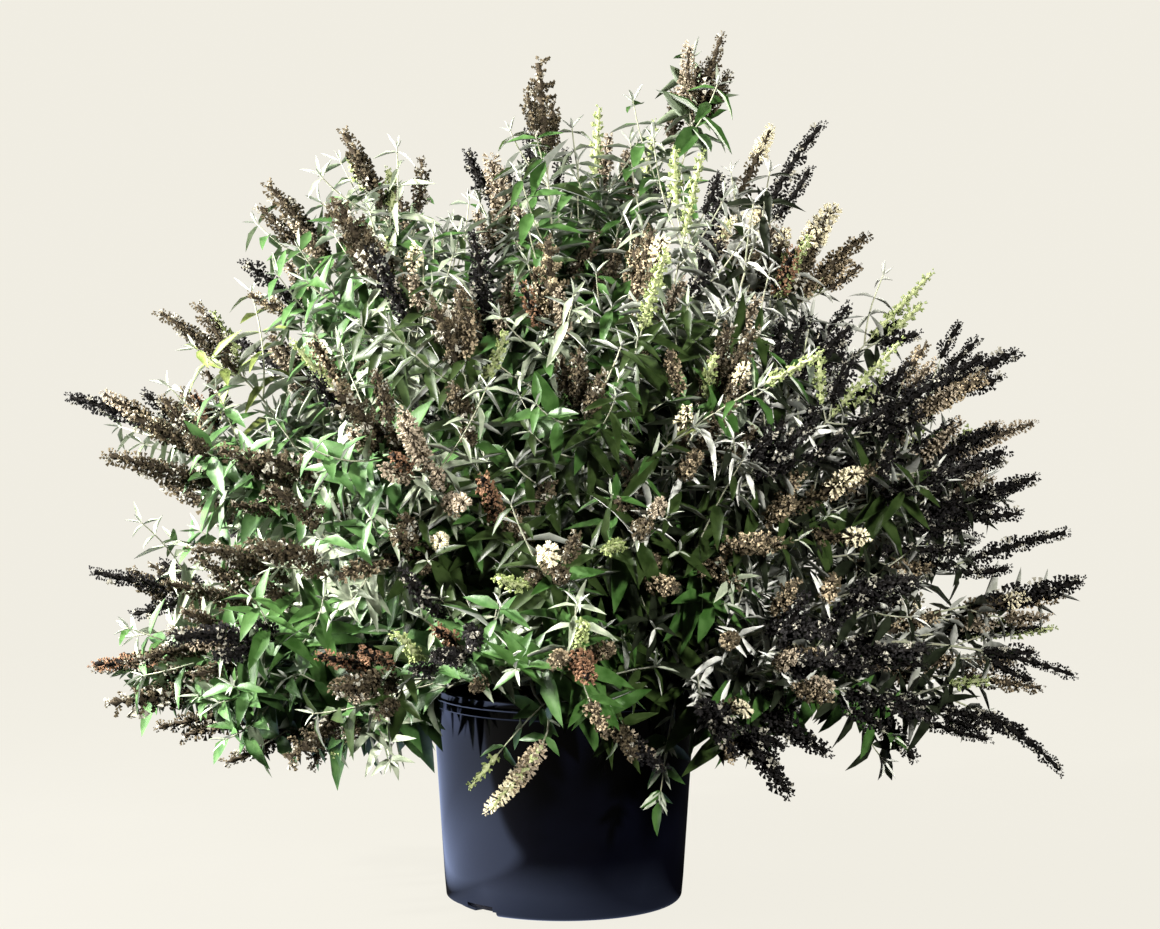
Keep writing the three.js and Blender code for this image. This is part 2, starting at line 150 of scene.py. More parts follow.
# %% Paint the room
CREAM = (0.875, 0.848, 0.765, 1.0)
WALL_LIGHT = (1.0, 0.96, 0.8, 1.0)
WALL_STRENGTH = 0.032


def add_node(tree, kind, feeds=None, **settings):
    """One node with its settings and what feeds its inputs: another node's output, or a value."""
    node = tree.nodes.new(kind)
    for label, value in settings.items():
        setattr(node, label, value)
    for label, value in (feeds or {}).items():
        if isinstance(value, bpy.types.NodeSocket):
            tree.links.new(value, node.inputs[label])
        else:
            node.inputs[label].default_value = value
    return node


room = bpy.data.worlds.new("pale_room")
room.use_nodes = True
tree = room.node_tree
tree.nodes.clear()
light_path = add_node(tree, "ShaderNodeLightPath")
wall_light = add_node(tree, "ShaderNodeBackground", {"Color": WALL_LIGHT, "Strength": WALL_STRENGTH})
wall_seen = add_node(tree, "ShaderNodeBackground", {"Color": CREAM})
seen_or_lit = add_node(tree, "ShaderNodeMixShader", {
    "Fac": light_path.outputs["Is Camera Ray"], 1: wall_light.outputs[0], 2: wall_seen.outputs[0],
})
add_node(tree, "ShaderNodeOutputWorld", {"Surface": seen_or_lit.outputs[0]})
bpy.context.scene.world = room
bpy.context.scene.view_settings.view_transform = "Standard"
bpy.context.scene.view_settings.look = "None"
print("the room has", len(tree.nodes), "nodes")

# %% [markdown]
# ## Finishes
#
# Nothing on a plant has one flat colour, so each finish mixes two or three near colours by a noise
# pattern and gives the surface a fine relief. One helper builds them all. It reads Object
# coordinates, so the pattern stays where it is on the piece. The floor's card is the first finish.

# %% A finish in blotches


def blotched(name, colours, scale, roughness, relief=0.2, relief_scale=400.0, grain=(1, 1, 1), **settings):
    """A material that mixes its colours in blotches and has a fine relief."""
    material = bpy.data.materials.new(name)
    material.use_nodes = True
    tree = material.node_tree
    shader = tree.nodes["Principled BSDF"]
    shader.inputs["Roughness"].default_value = roughness
    for label, value in settings.items():
        shader.inputs[label.replace("_", " ")].default_value = value
    place = add_node(tree, "ShaderNodeTexCoord")
    stretch = add_node(tree, "ShaderNodeMapping", {"Vector": place.outputs["Object"], "Scale": grain})
    spot = stretch.outputs["Vector"]
    blotches = add_node(tree, "ShaderNodeTexNoise", {"Vector": spot, "Scale": scale, "Detail": 4.0})
    ramp = add_node(tree, "ShaderNodeValToRGB", {"Fac": blotches.outputs["Fac"]})
    ramp.color_ramp.elements[0].position = 0.36
    ramp.color_ramp.elements[1].position = 0.64
    for _ in colours[2:]:
        ramp.color_ramp.elements.new(0.5)
    for element, colour in zip(ramp.color_ramp.elements, colours):
        element.color = (*colour, 1.0)
    tree.links.new(ramp.outputs["Color"], shader.inputs["Base Color"])
    if relief:
        grit = add_node(tree, "ShaderNodeTexNoise", {"Vector": spot, "Scale": relief_scale, "Detail": 3.0})
        bump = add_node(tree, "ShaderNodeBump", {
            "Strength": relief, "Distance": 0.001, "Height": grit.outputs["Fac"],
        })
        tree.links.new(bump.outputs["Normal"], shader.inputs["Normal"])
    return material


pale_floor = blotched(
    "pale_floor", [(0.0035, 0.0035, 0.003), (0.0045, 0.0045, 0.004)], 3.0, 0.9, 0.05, 90.0,
    Specular_IOR_Level=0.1,
)
print("finish:", pale_floor.name, "with", len(pale_floor.node_tree.nodes), "nodes")

# %% [markdown]
# ## The floor
#
# Under a studio plant lies a sheet of pale card that curves up behind it. Here it is one flat square
# that glows by itself in the colour of the wall and fades out towards its rim, so no horizon shows.
# A dark glossy pot would mirror it all over, so mirrored rays see another floor: blue light in a
# pool on the left and weakly before the foot. Ramps over the place on the floor shape these patches.

# %% What the gloss of the pot mirrors
LIT_FLOOR = (-0.35, -0.12, 0.0)
tree = pale_floor.node_tree
place = tree.nodes["Texture Coordinate"].outputs["Object"]


def add_math(tree, operation, first, second):
    """A math node on two sockets or values."""
    return add_node(tree, "ShaderNodeMath", {0: first, 1: second}, operation=operation).outputs[0]


def add_ramp(tree, value, start, end):
    """A number that rises from 0 to 1 while the value goes from start to end."""
    node = add_node(tree, "ShaderNodeMapRange", {"Value": value, "From Min": start, "From Max": end})
    return node.outputs["Result"]


apart = add_node(tree, "ShaderNodeSeparateXYZ", {0: place})
from_pool = add_node(tree, "ShaderNodeVectorMath", {0: place, 1: LIT_FLOOR}, operation="DISTANCE")
from_foot = add_node(tree, "ShaderNodeVectorMath", {0: place}, operation="LENGTH")
across = apart.outputs["X"]
away = apart.outputs["Y"]

pool = add_math(tree, "MULTIPLY", add_ramp(tree, from_pool.outputs["Value"], 0.5, 0.2), 0.9)
on_left = add_math(tree, "MULTIPLY", add_ramp(tree, across, -0.19, -0.27), add_ramp(tree, away, -0.4, -0.35))
left_part = add_math(tree, "MULTIPLY", on_left, add_math(tree, "ADD", pool, 1.0))

foot_fade = add_math(tree, "MULTIPLY", add_ramp(tree, across, 0.14, -0.2), 1.5)
foot_fade = add_math(tree, "ADD", foot_fade, 0.3)
near_foot = add_ramp(tree, from_foot.outputs["Value"], 0.4, 0.25)
before_foot = add_math(tree, "MULTIPLY", near_foot, add_ramp(tree, away, 0.0, -0.14))
foot_part = add_math(tree, "MULTIPLY", before_foot, foot_fade)
mirrored = add_math(tree, "MAXIMUM", left_part, foot_part)
print("the patches take", len(tree.nodes), "nodes")

# %% [markdown]
# The Light Path node now chooses: camera rays get the cream card, mirrored rays get the blue
# patches, and all other rays get nothing, so the floor sends no light up into the crown. It is no
# part of the plant.

# %% Lay the floor
FLOOR_SIZE = 14.0
FLOOR_SOLID = 0.9
FLOOR_GONE = 2.6
SKY_BLUE = (0.5, 0.62, 1.0, 1.0)
FLOOR_GLOW = 0.99

shader = tree.nodes["Principled BSDF"]
seen = add_node(tree, "ShaderNodeLightPath")
by_camera = seen.outputs["Is Camera Ray"]
seen_glow = add_math(tree, "MULTIPLY", by_camera, FLOOR_GLOW)
mirrored_glow = add_math(tree, "MULTIPLY", seen.outputs["Is Glossy Ray"], mirrored)
glow = add_math(tree, "ADD", seen_glow, mirrored_glow)
tint = add_node(tree, "ShaderNodeMix", data_type="RGBA")
tree.links.new(by_camera, tint.inputs["Factor"])
tint.inputs[6].default_value = SKY_BLUE
tint.inputs[7].default_value = CREAM
tree.links.new(tint.outputs[2], shader.inputs["Emission Color"])
tree.links.new(glow, shader.inputs["Emission Strength"])
fade = add_node(tree, "ShaderNodeMapRange", {
    "Value": from_foot.outputs["Value"], "From Min": FLOOR_SOLID, "From Max": FLOOR_GONE,
    "To Min": 1.0, "To Max": 0.0,
})
tree.links.new(fade.outputs["Result"], shader.inputs["Alpha"])

half = FLOOR_SIZE / 2
corners = [(-half, -half, 0), (half, -half, 0), (half, half, 0), (-half, half, 0)]
floor_mesh = bpy.data.meshes.new("floor")
floor_mesh.from_pydata(corners, [], [(0, 1, 2, 3)])
floor_mesh.materials.append(pale_floor)
floor = bpy.data.objects.new("floor", floor_mesh)
bpy.context.scene.collection.objects.link(floor)
print("floor:", FLOOR_SIZE, "m wide, and gone", FLOOR_GONE, "m from the pot")

# %% [markdown]
# ## Shapes from rings
#
# Pots, soil and limbs are round things that change their width along an axis. They could be
# sculpted, but rings of points that are joined up one to the next keep every size exact. A ring of
# one point closes an end.

# %% Rings of points become a closed mesh


def mesh_object(name, mesh):
    """An object at the origin that shows a mesh."""
    piece = bpy.data.objects.new(name, mesh)
    bpy.context.scene.collection.objects.link(piece)
    return piece


def tube_faces(ring_starts, ring_sizes):
    """Faces that join rings of points one to the next."""
    faces = []
    rings = list(zip(ring_starts, ring_sizes))
    for (low, low_size), (high, high_size) in zip(rings, rings[1:]):
        for side in range(max(low_size, high_size)):
            turn = (side + 1) % max(low_size, high_size)
            corners = [low + side % low_size, low + turn % low_size]
            corners += [high + turn % high_size, high + side % high_size]
            faces.append(list(dict.fromkeys(corners)))
    return faces


def ringed_mesh(name, rings, finish, sharp=0.9):
    """A mesh through rings of points, smooth but for its sharp corners."""
    points = [point for ring in rings for point in ring]
    starts = [sum(len(ring) for ring in rings[:index]) for index in range(len(rings))]
    mesh = bpy.data.meshes.new(name)
    mesh.from_pydata(points, [], tube_faces(starts, [len(ring) for ring in rings]))
    mesh.materials.append(finish)
    mesh.shade_smooth()
    mesh.set_sharp_from_angle(angle=sharp)
    return mesh


def turned_rings(profile, sides):
    """Rings for a shape of revolution, from its profile of radius and height pairs."""
    angles = [2 * math.pi * side / sides for side in range(sides)]
    rings = []
    for radius, height in profile:
        if radius == 0:
            rings.append([Vector((0, 0, height))])
        else:
            ring = [(radius * math.cos(angle), radius * math.sin(angle), height) for angle in angles]
            rings.append([Vector(point) for point in ring])
    return rings


print("a tube of three rings of four points has", len(tube_faces([0, 4, 8], [4, 4, 4])), "faces")

# %% [markdown]
# ## Geometry Nodes from the script
#
# Geometry Nodes copy a small form, such as a leaf or a seed capsule, to many points at once. A tree
# is built once, and a piece gives it its own sizes through named inputs. When the tree has run, its
# result is kept as a plain mesh and the modifier goes.

# %% Helpers for Geometry Nodes


def new_tree(name, sizes):
    """A geometry node tree with named inputs, and its two end nodes."""
    tree = bpy.data.node_groups.new(name, "GeometryNodeTree")
    tree.is_modifier = True
    tree.interface.new_socket("Geometry", in_out="INPUT", socket_type="NodeSocketGeometry")
    for label, kind in sizes.items():
        tree.interface.new_socket(label, in_out="INPUT", socket_type="NodeSocket" + kind)
    tree.interface.new_socket("Geometry", in_out="OUTPUT", socket_type="NodeSocketGeometry")
    return tree, tree.nodes.new("NodeGroupInput").outputs, tree.nodes.new("NodeGroupOutput").inputs


def real_geometry(tree, made, smooth=False):
    """Real geometry out of the instances, with smooth or flat faces."""
    made = add_node(tree, "GeometryNodeRealizeInstances", {"Geometry": made}).outputs[0]
    return add_node(tree, "GeometryNodeSetShadeSmooth", {0: made}).outputs[0] if smooth else made


def dressed(tree, made, finish, **only):
    """The same geometry in a finish, or only some of its faces."""
    feeds = {"Geometry": made, "Material": finish, **only}
    return add_node(tree, "GeometryNodeSetMaterial", feeds).outputs[0]


def kept_result(source, tree, values, name):
    """Runs a tree on a source object and returns its result as a plain mesh object."""
    modifier = source.modifiers.new(tree.name, "NODES")
    modifier.node_group = tree
    inputs = {item.name: item.identifier for item in tree.interface.items_tree if item.in_out == "INPUT"}
    for label, value in values.items():
        modifier[inputs[label]] = value
    bpy.context.view_layer.update()
    grown = source.evaluated_get(bpy.context.evaluated_depsgraph_get())
    mesh = bpy.data.meshes.new_from_object(grown)
    mesh.name = name
    source.modifiers.remove(modifier)
    bpy.data.objects.remove(source)
    return mesh_object(name, mesh)


def triangles(piece):
    """How many triangles a piece has."""
    return sum(len(polygon.vertices) - 2 for polygon in piece.data.polygons)


print("the floor has", triangles(floor), "triangles")

# %% [markdown]
# ## A well spread number
#
# A plant looks random, but the lesson must grow the same plant every time. The function below turns
# two whole numbers into one number from 0 to 1 that looks random and never changes. The solid model
# uses the same function, so both grow the same shoots.

# %% Chance without surprise


def chance(key, salt):
    """A number from 0 to 1 that depends only on two whole numbers."""
    prime = 65521
    mixed = (key * 40503 + salt * 9973 + 7) % prime
    squared = (mixed * mixed + salt * 331) % prime
    return ((squared * 31337 + key) % prime) / prime


def between(low, high, share):
    """The number that lies a share of the way from low to high."""
    return low + (high - low) * share


def read_off(table, share):
    """The value at a share from a table of (share, value) pairs, with straight lines between them."""
    for (low, low_value), (high, high_value) in zip(table, table[1:]):
        if share <= high:
            return between(low_value, high_value, (share - low) / (high - low))
    return table[-1][1]


print("chance(3, 1) =", round(chance(3, 1), 4))

# %% [markdown]
# ## The pot
#
# A nursery pot is blow moulded from thin dark plastic: a wall that widens towards the brim, a round
# corner at the foot and a thicker band with a bead round the brim. It could be modelled from a
# cylinder by hand, but a profile that is spun round the axis keeps every radius as measured.

# %% The profile of the pot
POT_HEIGHT = 0.300
FOOT_RADIUS = 0.163
BRIM_RADIUS = 0.182
WALL = 0.003
POT_FLOOR = 0.004
FOOT_ROUND = 0.009
ROUND_STEPS = 8
BAND_FOOT = 0.274
BAND_STAND = 0.003
WALL_HEIGHTS = (0.03, 0.08, 0.15, 0.21, 0.262, BAND_FOOT - 0.001)
INSIDE_HEIGHTS = (0.28, 0.2, 0.1, POT_FLOOR + FOOT_ROUND)
BAND_SHAPE = [
    # how far each corner of the band and its bead stands out from the band, and its height
    (-0.0012, BAND_FOOT), (0.0, BAND_FOOT + 0.0012), (0.0, 0.2845),
    (0.0009, 0.2856), (0.0013, 0.287), (0.0009, 0.2884), (0.0, 0.2895),
]
LIP_SHAPE = [
    # the same from the lip: up, over its round edge and a little way in
    (-0.0006, 0.296), (0.0, 0.2972), (0.0, 0.2986), (-0.0009, 0.2997),
    (-0.002, POT_HEIGHT), (-0.0048, 0.2997),
]


def wall_radius(height):
    """Outside radius of the pot's wall at a height."""
    return between(FOOT_RADIUS, BRIM_RADIUS, height / POT_HEIGHT)


def pot_profile():
    """Radius and height pairs from the middle of the underside, over the brim, to the inside."""
    profile = [(0, 0)]
    for step in range(ROUND_STEPS + 1):
        angle = math.pi / 2 * step / ROUND_STEPS
        out = FOOT_RADIUS - FOOT_ROUND + FOOT_ROUND * math.sin(angle)
        profile.append((out, FOOT_ROUND - FOOT_ROUND * math.cos(angle)))
    profile += [(wall_radius(height), height) for height in WALL_HEIGHTS]
    band = wall_radius(BAND_FOOT) + BAND_STAND
    profile += [(band + out, height) for out, height in BAND_SHAPE]
    lip = wall_radius(POT_HEIGHT) + BAND_STAND
    profile += [(lip + out, height) for out, height in LIP_SHAPE]
    profile.append((wall_radius(0.297) - WALL, 0.2978))
    profile += [(wall_radius(height) - WALL, height) for height in INSIDE_HEIGHTS]
    profile += [(wall_radius(POT_FLOOR) - WALL - FOOT_ROUND, POT_FLOOR), (0, POT_FLOOR)]
    return profile


print("profile of the pot:", len(pot_profile()), "points")

# %% [markdown]
# The plastic is almost black and shiny, and a little wavy from the mould. That shows only in what
# the pot mirrors, so the finish is very smooth, with a faint wide relief.

# %% Spin the pot
POT_SIDES = 144
POT_SHARP = 0.6
pot_plastic = blotched(
    "pot_plastic", [(0.0008, 0.001, 0.0022), (0.0013, 0.0015, 0.0036), (0.001, 0.0011, 0.0026)],
    9.0, 0.09, relief=0.03, relief_scale=45.0, Specular_IOR_Level=0.5,
)
pot_rings = turned_rings(pot_profile(), POT_SIDES)
pot = mesh_object("pot_shell", ringed_mesh("pot_shell", pot_rings, pot_plastic, POT_SHARP))
print("pot:", triangles(pot), "triangles before its foot is cut")

# %% [markdown]
# Water must leave on flat ground, so the foot has two bays with a deeper drain slot in each. They
# could be left out of the rings, but cutting is simpler: each cutter is a closed ring sector, and an
# exact Boolean takes it out of the foot.

# %% Cutters for the bays and drain slots
BAYS = [(180, 56, 0.013, 0.007), (217, 17, 0.030, 0.014)]  # first turn, arc, depth and lift of each
BAY_TURNS = (0, 180)
CUTTER_STEP = 1.75
CUTTER_PAST = 0.01


def sector(first, arc, depth, lift):
    """Rings of a sector that reaches out past the foot and below the ground."""
    steps = int(arc / CUTTER_STEP) + 1
    rings = []
    for step in range(steps + 1):
        angle = math.radians(first + arc * step / steps)
        flat = Vector((math.cos(angle), math.sin(angle), 0))
        inner = flat * (FOOT_RADIUS - depth)
        outer = flat * (FOOT_RADIUS + CUTTER_PAST)
        up = Vector((0, 0, lift))
        down = Vector((0, 0, -CUTTER_PAST))
        rings.append([inner + down, outer + down, outer + up, inner + up])
    return rings


def cutter(name, rings):
    """A sector with its two flat ends closed."""
    mesh = bpy.data.meshes.new(name)
    count = len(rings)
    faces = tube_faces([4 * index for index in range(count)], [4] * count)
    faces += [[3, 2, 1, 0], [4 * count - 4, 4 * count - 3, 4 * count - 2, 4 * count - 1]]
    mesh.from_pydata([point for ring in rings for point in ring], [], faces)
    shape = bmesh.new()
    shape.from_mesh(mesh)
    bmesh.ops.recalc_face_normals(shape, faces=shape.faces)
    shape.to_mesh(mesh)
    shape.free()
    return mesh_object(name, mesh)


cutters = [
    cutter(f"cutter_{turn}_{arc}", sector(first + turn, arc, depth, lift))
    for turn in BAY_TURNS for first, arc, depth, lift in BAYS
]
print("cutters:", len(cutters))

# %% Cut the foot
for tool in cutters:
    cut = pot.modifiers.new(tool.name, "BOOLEAN")
    cut.operation = "DIFFERENCE"
    cut.solver = "EXACT"
    cut.object = tool
bpy.context.view_layer.update()
cut_mesh = bpy.data.meshes.new_from_object(pot.evaluated_get(bpy.context.evaluated_depsgraph_get()))
pot.modifiers.clear()
pot.data = cut_mesh
pot.data.shade_smooth()
pot.data.set_sharp_from_angle(angle=POT_SHARP)
for tool in cutters:
    bpy.data.objects.remove(tool)
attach(pot, "root")
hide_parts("pot")
print("pot:", triangles(pot), "triangles with its bays")

# %% [markdown]
# ## The soil
#
# Potting soil is dark, crumbly and never level: it lies highest round the stool and sinks towards
# the wall. It is made of rings like the pot, and a noise pattern lifts the rings of its top.

# %% Fill the pot
SOIL_TOP = 0.272
SOIL_CROWN = 0.008
SOIL_LEVEL = 0.055
SOIL_FOOT = 0.0043
SOIL_CLEAR = 0.0018
SOIL_ROUGH = 0.0022
SOIL_LUMPS = 38
SOIL_SIDES = 90
SOIL_RINGS = 22


def soil_height(x, y, edge):
    """Height of the soil's top: lower at the wall and uneven everywhere."""
    out = math.hypot(x, y)
    fall = max(0.0, (out - SOIL_LEVEL) / (edge - SOIL_LEVEL)) ** 1.5
    rough = noise.fractal(Vector((x * SOIL_LUMPS, y * SOIL_LUMPS, 1.7)), 0.9, 2.0, 4)
    return SOIL_TOP - SOIL_CROWN * fall + SOIL_ROUGH * rough * min(1.0, out / 0.03)


def soil_rings():
    """Rings from the middle of the soil's underside, up the wall and in over its top."""
    edge = wall_radius(SOIL_TOP - SOIL_CROWN) - WALL - SOIL_CLEAR
    foot = wall_radius(POT_FLOOR) - WALL - SOIL_CLEAR
    wall = [(0, SOIL_FOOT), (foot - FOOT_ROUND, SOIL_FOOT), (foot, 0.014), (edge - 0.001, 0.25)]
    rings = turned_rings(wall, SOIL_SIDES)
    for step in range(SOIL_RINGS):
        radius = edge * (1 - step / SOIL_RINGS)
        ring = turned_rings([(radius, 0)], SOIL_SIDES)[0]
        heights = [soil_height(point.x, point.y, edge) for point in ring]
        rings.append([Vector((point.x, point.y, height)) for point, height in zip(ring, heights)])
    rings.append([Vector((0, 0, SOIL_TOP))])
    return rings


# Damp soil is dark, and this colour is kept darker still as painted shade, so that the drain slots read
# black.
soil_dark = blotched(
    "soil_dark", [(0.007, 0.0055, 0.0045), (0.018, 0.014, 0.0115), (0.01, 0.008, 0.0065)],
    120.0, 0.95, relief=0.8, relief_scale=520.0,
)
soil_bed = mesh_object("soil_bed", ringed_mesh("soil_bed", soil_rings(), soil_dark, 1.2))
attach(soil_bed, "root")
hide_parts("soil")
print("soil:", triangles(soil_bed), "triangles")

# %% [markdown]
# Crumbs and bits of bark lie on the soil. Geometry Nodes scatter one lump over the faces that look
# up, each with its own turn and size. The seed is fixed, so they always lie in the same places.

# %% A tree that scatters crumbs
FACES_UP = 0.6
ANY_TURN = (6.28, 6.28, 6.28)
tree, given, result = new_tree("scattered_crumbs", {
    "Crumb": "Object", "Density": "Float", "Smallest": "Float", "Largest": "Float", "Seed": "Int",
    "Finish": "Material",
})
facing = add_node(tree, "GeometryNodeInputNormal")
facing_up = add_node(tree, "ShaderNodeSeparateXYZ", {"Vector": facing.outputs["Normal"]})
is_top = add_node(tree, "FunctionNodeCompare", {
    0: facing_up.outputs["Z"], 1: FACES_UP,
}, operation="GREATER_THAN")
spots = add_node(tree, "GeometryNodeDistributePointsOnFaces", {
    "Mesh": given["Geometry"], "Selection": is_top.outputs[0], "Density": given["Density"],
    "Seed": given["Seed"],
})
size = add_node(tree, "FunctionNodeRandomValue", {
    2: given["Smallest"], 3: given["Largest"], "Seed": given["Seed"],
}, data_type="FLOAT")
spin = add_node(tree, "FunctionNodeRandomValue", {
    1: ANY_TURN, "Seed": given["Seed"],
}, data_type="FLOAT_VECTOR")
crumb_in = add_node(tree, "GeometryNodeObjectInfo", {"Object": given["Crumb"]})
crumbs = add_node(tree, "GeometryNodeInstanceOnPoints", {
    "Points": spots.outputs["Points"], "Instance": crumb_in.outputs["Geometry"],
    "Rotation": spin.outputs[0], "Scale": size.outputs[1],
})
made = real_geometry(tree, crumbs.outputs["Instances"])
tree.links.new(dressed(tree, made, given["Finish"]), result["Geometry"])
print("the tree of crumbs has", len(tree.nodes), "nodes")

# %% Scatter crumbs on the soil


def crumb_form():
    """A lump of twenty faces, a little flattened."""
    mesh = bpy.data.meshes.new("crumb_form")
    shape = bmesh.new()
    bmesh.ops.create_icosphere(shape, subdivisions=1, radius=1.0)
    for vertex in shape.verts:
        vertex.co *= between(0.7, 1.15, chance(vertex.index, 61))
        vertex.co.z *= 0.6
    shape.to_mesh(mesh)
    shape.free()
    return mesh_object("crumb_form", mesh)


bark_crumb = blotched("bark_crumb", [(0.05, 0.03, 0.018), (0.11, 0.07, 0.042)], 90.0, 0.9, 0.5, 700.0)
crumb = crumb_form()
crumb_bed = mesh_object("crumb_bed", soil_bed.data.copy())
crumb_pieces = kept_result(crumb_bed, tree, {
    "Crumb": crumb, "Density": 9000.0, "Smallest": 0.0012, "Largest": 0.0042, "Seed": 5,
    "Finish": bark_crumb,
}, "soil_crumbs")
bpy.data.objects.remove(crumb)
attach(crumb_pieces, "root")
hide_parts("soil")
print("crumbs:", triangles(crumb_pieces), "triangles")

# %% [markdown]
# ## The rule of growth
#
# The stool's round head sends out twenty boughs in four tiers. Shoot tips are spread evenly over the
# crown, and each tip belongs to the bough that points nearest to it. A bough ends in a stem that
# runs on to its most central tip, and the other shoots fork off that stem. All directions and points
# below are counted from the middle of the stool's head.
#
# The crown is an egg with three half axes that draws in below the head. A function of the
# direction says how far it reaches, so tips can be set on its surface.

# %% The size of the crown
HEAD = Vector((0.006, 0.004, 0.334))
HEAD_RADIUS = 0.030
GAP = 0.0003
CROWN = (0.702, 0.660, 0.800)
DRAW_IN = 0.9


def heading(turn, rise):
    """A unit vector from a turn about Z and a rise over the horizontal, both in degrees."""
    turn = math.radians(turn)
    rise = math.radians(rise)
    return Vector((math.cos(rise) * math.cos(turn), math.cos(rise) * math.sin(turn), math.sin(rise)))


def square_to(direction):
    """A unit vector square to the given one."""
    helper = Vector((0, 0, 1)) if abs(direction.z) < 0.8 else Vector((1, 0, 0))
    return direction.cross(helper).normalized()


def reach_at(direction):
    """How far the crown reaches in a direction. It draws in below the head."""
    stretched = Vector([part / side for part, side in zip(direction, CROWN)])
    return min(1.0, 1 + DRAW_IN * direction.z) / stretched.length


print("the crown reaches", round(reach_at(heading(0, 90)), 3), "m over the head")

# %% [markdown]
# Boughs would grow through each other if they could, so space is shared out: the cone of a bough
# holds every direction that lies nearer to its axis than to any other, and nothing leaves the cone
# of its bough. A cone's sides are planes, which makes the test quick.

# %% Boughs and their cones
LOWEST_LEAF = 0.100
TIERS = [
    # name, count, turn of the first bough, rise over the horizontal, length of each
    ("skirt", 8, 35, 4, 0.208), ("flank", 7, 30, 32, 0.205),
    ("shoulder", 4, 20, 60, 0.195), ("top", 1, 0, 90, 0.190),
]


class Bough:
    """One bough: its axis and length, its tips, and the side planes of the cone it grows in."""

    def __init__(self, axis, length):
        self.axis = axis
        self.length = length
        self.sides = []
        self.tips = []

    def holds(self, point, margin):
        """Whether a point lies in the cone, past the bough's end and clear of the ground."""
        if point.dot(self.axis) <= self.length + GAP or point.z + HEAD.z <= LOWEST_LEAF:
            return False
        return all(side.dot(point) > margin for side in self.sides)


BOUGHS = []
for tier, count, start, rise, length in TIERS:
    BOUGHS += [Bough(heading(start + index * 360 / count, rise), length) for index in range(count)]
    print(tier, "boughs:", count)
for bough in BOUGHS:
    bough.sides = [(bough.axis - other.axis).normalized() for other in BOUGHS if other is not bough]

# %% [markdown]
# ## Tips of shoots
#
# Every shoot ends in a tip with a flower spike. The stage of a spike depends on where it is. Spent
# spikes are dark, and more of them are almost black on the shaded right and fewer at the lit front,
# which is painted shade; the left still has brown and rusty spikes, and tan ones stand low at the
# front right. Shares that change with the direction do this.

# %% A tip and its look


class Tip:
    """The end of a shoot: its direction and reach, and how its spike points and looks."""

    def __init__(self, direction, reach, aim, spike, key, look):
        self.direction = direction
        self.reach = reach
        self.aim = aim
        self.spike = spike
        self.key = key
        self.look = look
        self.leads = False

    @property
    def point(self):
        return self.direction * self.reach


def within(value):
    """The number itself, or 0 or 1 where it lies outside them."""
    return max(0.0, min(1.0, value))


def usual_look(direction, key):
    """How a spike looks by where it is: darkest on the shaded right as painted shade, tan low at the front
    right.
    """
    # More near-black spikes on the shaded right and fewer at the lit front: painted shade.
    dark = between(0.14, 0.68, within(0.5 + 1.2 * direction.x)) * (1 - 0.5 * max(0.0, -direction.y))
    front = within(1.2 * (direction.x + 0.3) - 1.2 * direction.y) * max(0.0, 1 - 1.3 * direction.z)
    low_left = 0.17 if direction.x < -0.1 and direction.z < 0.3 else 0.0
    marks = [
        ("tan", 0.04 + 0.3 * front), ("fading", 0.05 + 0.08 * front), ("budding", 0.08 - 0.05 * front),
        ("bloom", 0.04), ("rust", 0.02 + low_left), ("black", dark),
    ]
    draw = chance(key, 51)
    for look, share in marks:
        if draw < share:
            return look
        draw -= share
    return "brown"


looks = [usual_look(heading(0, 20), key) for key in range(100)]
print("black on the right:", looks.count("black"), "in a hundred")

# %% [markdown]
# The tips wind down the crown by the golden angle, as seeds do in a sunflower, which spreads them
# evenly. Thirteen of them are leaders: they move to a place of their own, where one spike stands
# out clearly against the sky or hangs before the pot.

# %% Spread the tips
SHOOT_COUNT = 128
LOWEST_TIP = -14
GOLDEN_TURN = math.degrees(math.pi * (3 - math.sqrt(5)))
SPIKE_MARGIN = 0.019
LEADERS = [
    # turn and rise of the tip, its reach, turn and rise of the spike's aim, the spike's look
    (8, 75.6, 0.880, 5, 71, "brown"), (200, 87, 0.818, 180, 86, "brown"),
    (184, 67, 0.785, 180, 60, "brown"), (176, 57.5, 0.772, 180, 47, "brown"),
    (190, 51, 0.704, 184, 36, "black"), (180, 27.6, 0.775, 180, 14, "black"),
    (186, 11, 0.662, 184, 12, "black"), (3, 64.5, 0.812, 0, 30, "black"),
    (352, 47.5, 0.728, 356, 40, "budding"), (6, 33.5, 0.756, 2, 22, "black"),
    (356, 9, 0.712, 0, 14, "black"), (354.5, -12.6, 0.694, 0, -48, "black"),
    (257, -16.5, 0.465, 202, -42, "opening"),
]


def all_tips():
    """Tips spread evenly over the crown, with the leaders in their places."""
    tips = []
    lowest = math.sin(math.radians(LOWEST_TIP))
    for index in range(SHOOT_COUNT):
        height = 1 - ((index + 0.5) / SHOOT_COUNT) * (1 - lowest)
        turn = index * GOLDEN_TURN + 8 * (chance(index, 1) - 0.5)
        rise = math.degrees(math.asin(height)) + 6 * (chance(index, 2) - 0.5)
        direction = heading(turn, rise)
        lean = between(-4, 20, chance(index, 4))
        reach = reach_at(direction) * between(0.82, 1.01, chance(index, 3))
        spike = 0.135 + 0.040 * (chance(index, 5) - 0.5)
        look = usual_look(direction, index)
        tips.append(Tip(direction, reach, heading(turn, rise - lean), spike, index, look))
    for turn, rise, reach, aim_turn, aim_rise, look in LEADERS:
        direction = heading(turn, rise)
        others = [tip for tip in tips if not tip.leads]
        nearest = max(others, key=lambda tip: tip.direction.dot(direction))
        nearest.direction = direction
        nearest.reach = reach
        nearest.aim = heading(aim_turn, aim_rise)
        nearest.look = look
        nearest.leads = True
    return tips


def bough_towards(direction):
    """The bough that points nearest to a direction."""
    return max(BOUGHS, key=lambda bough: bough.axis.dot(direction))


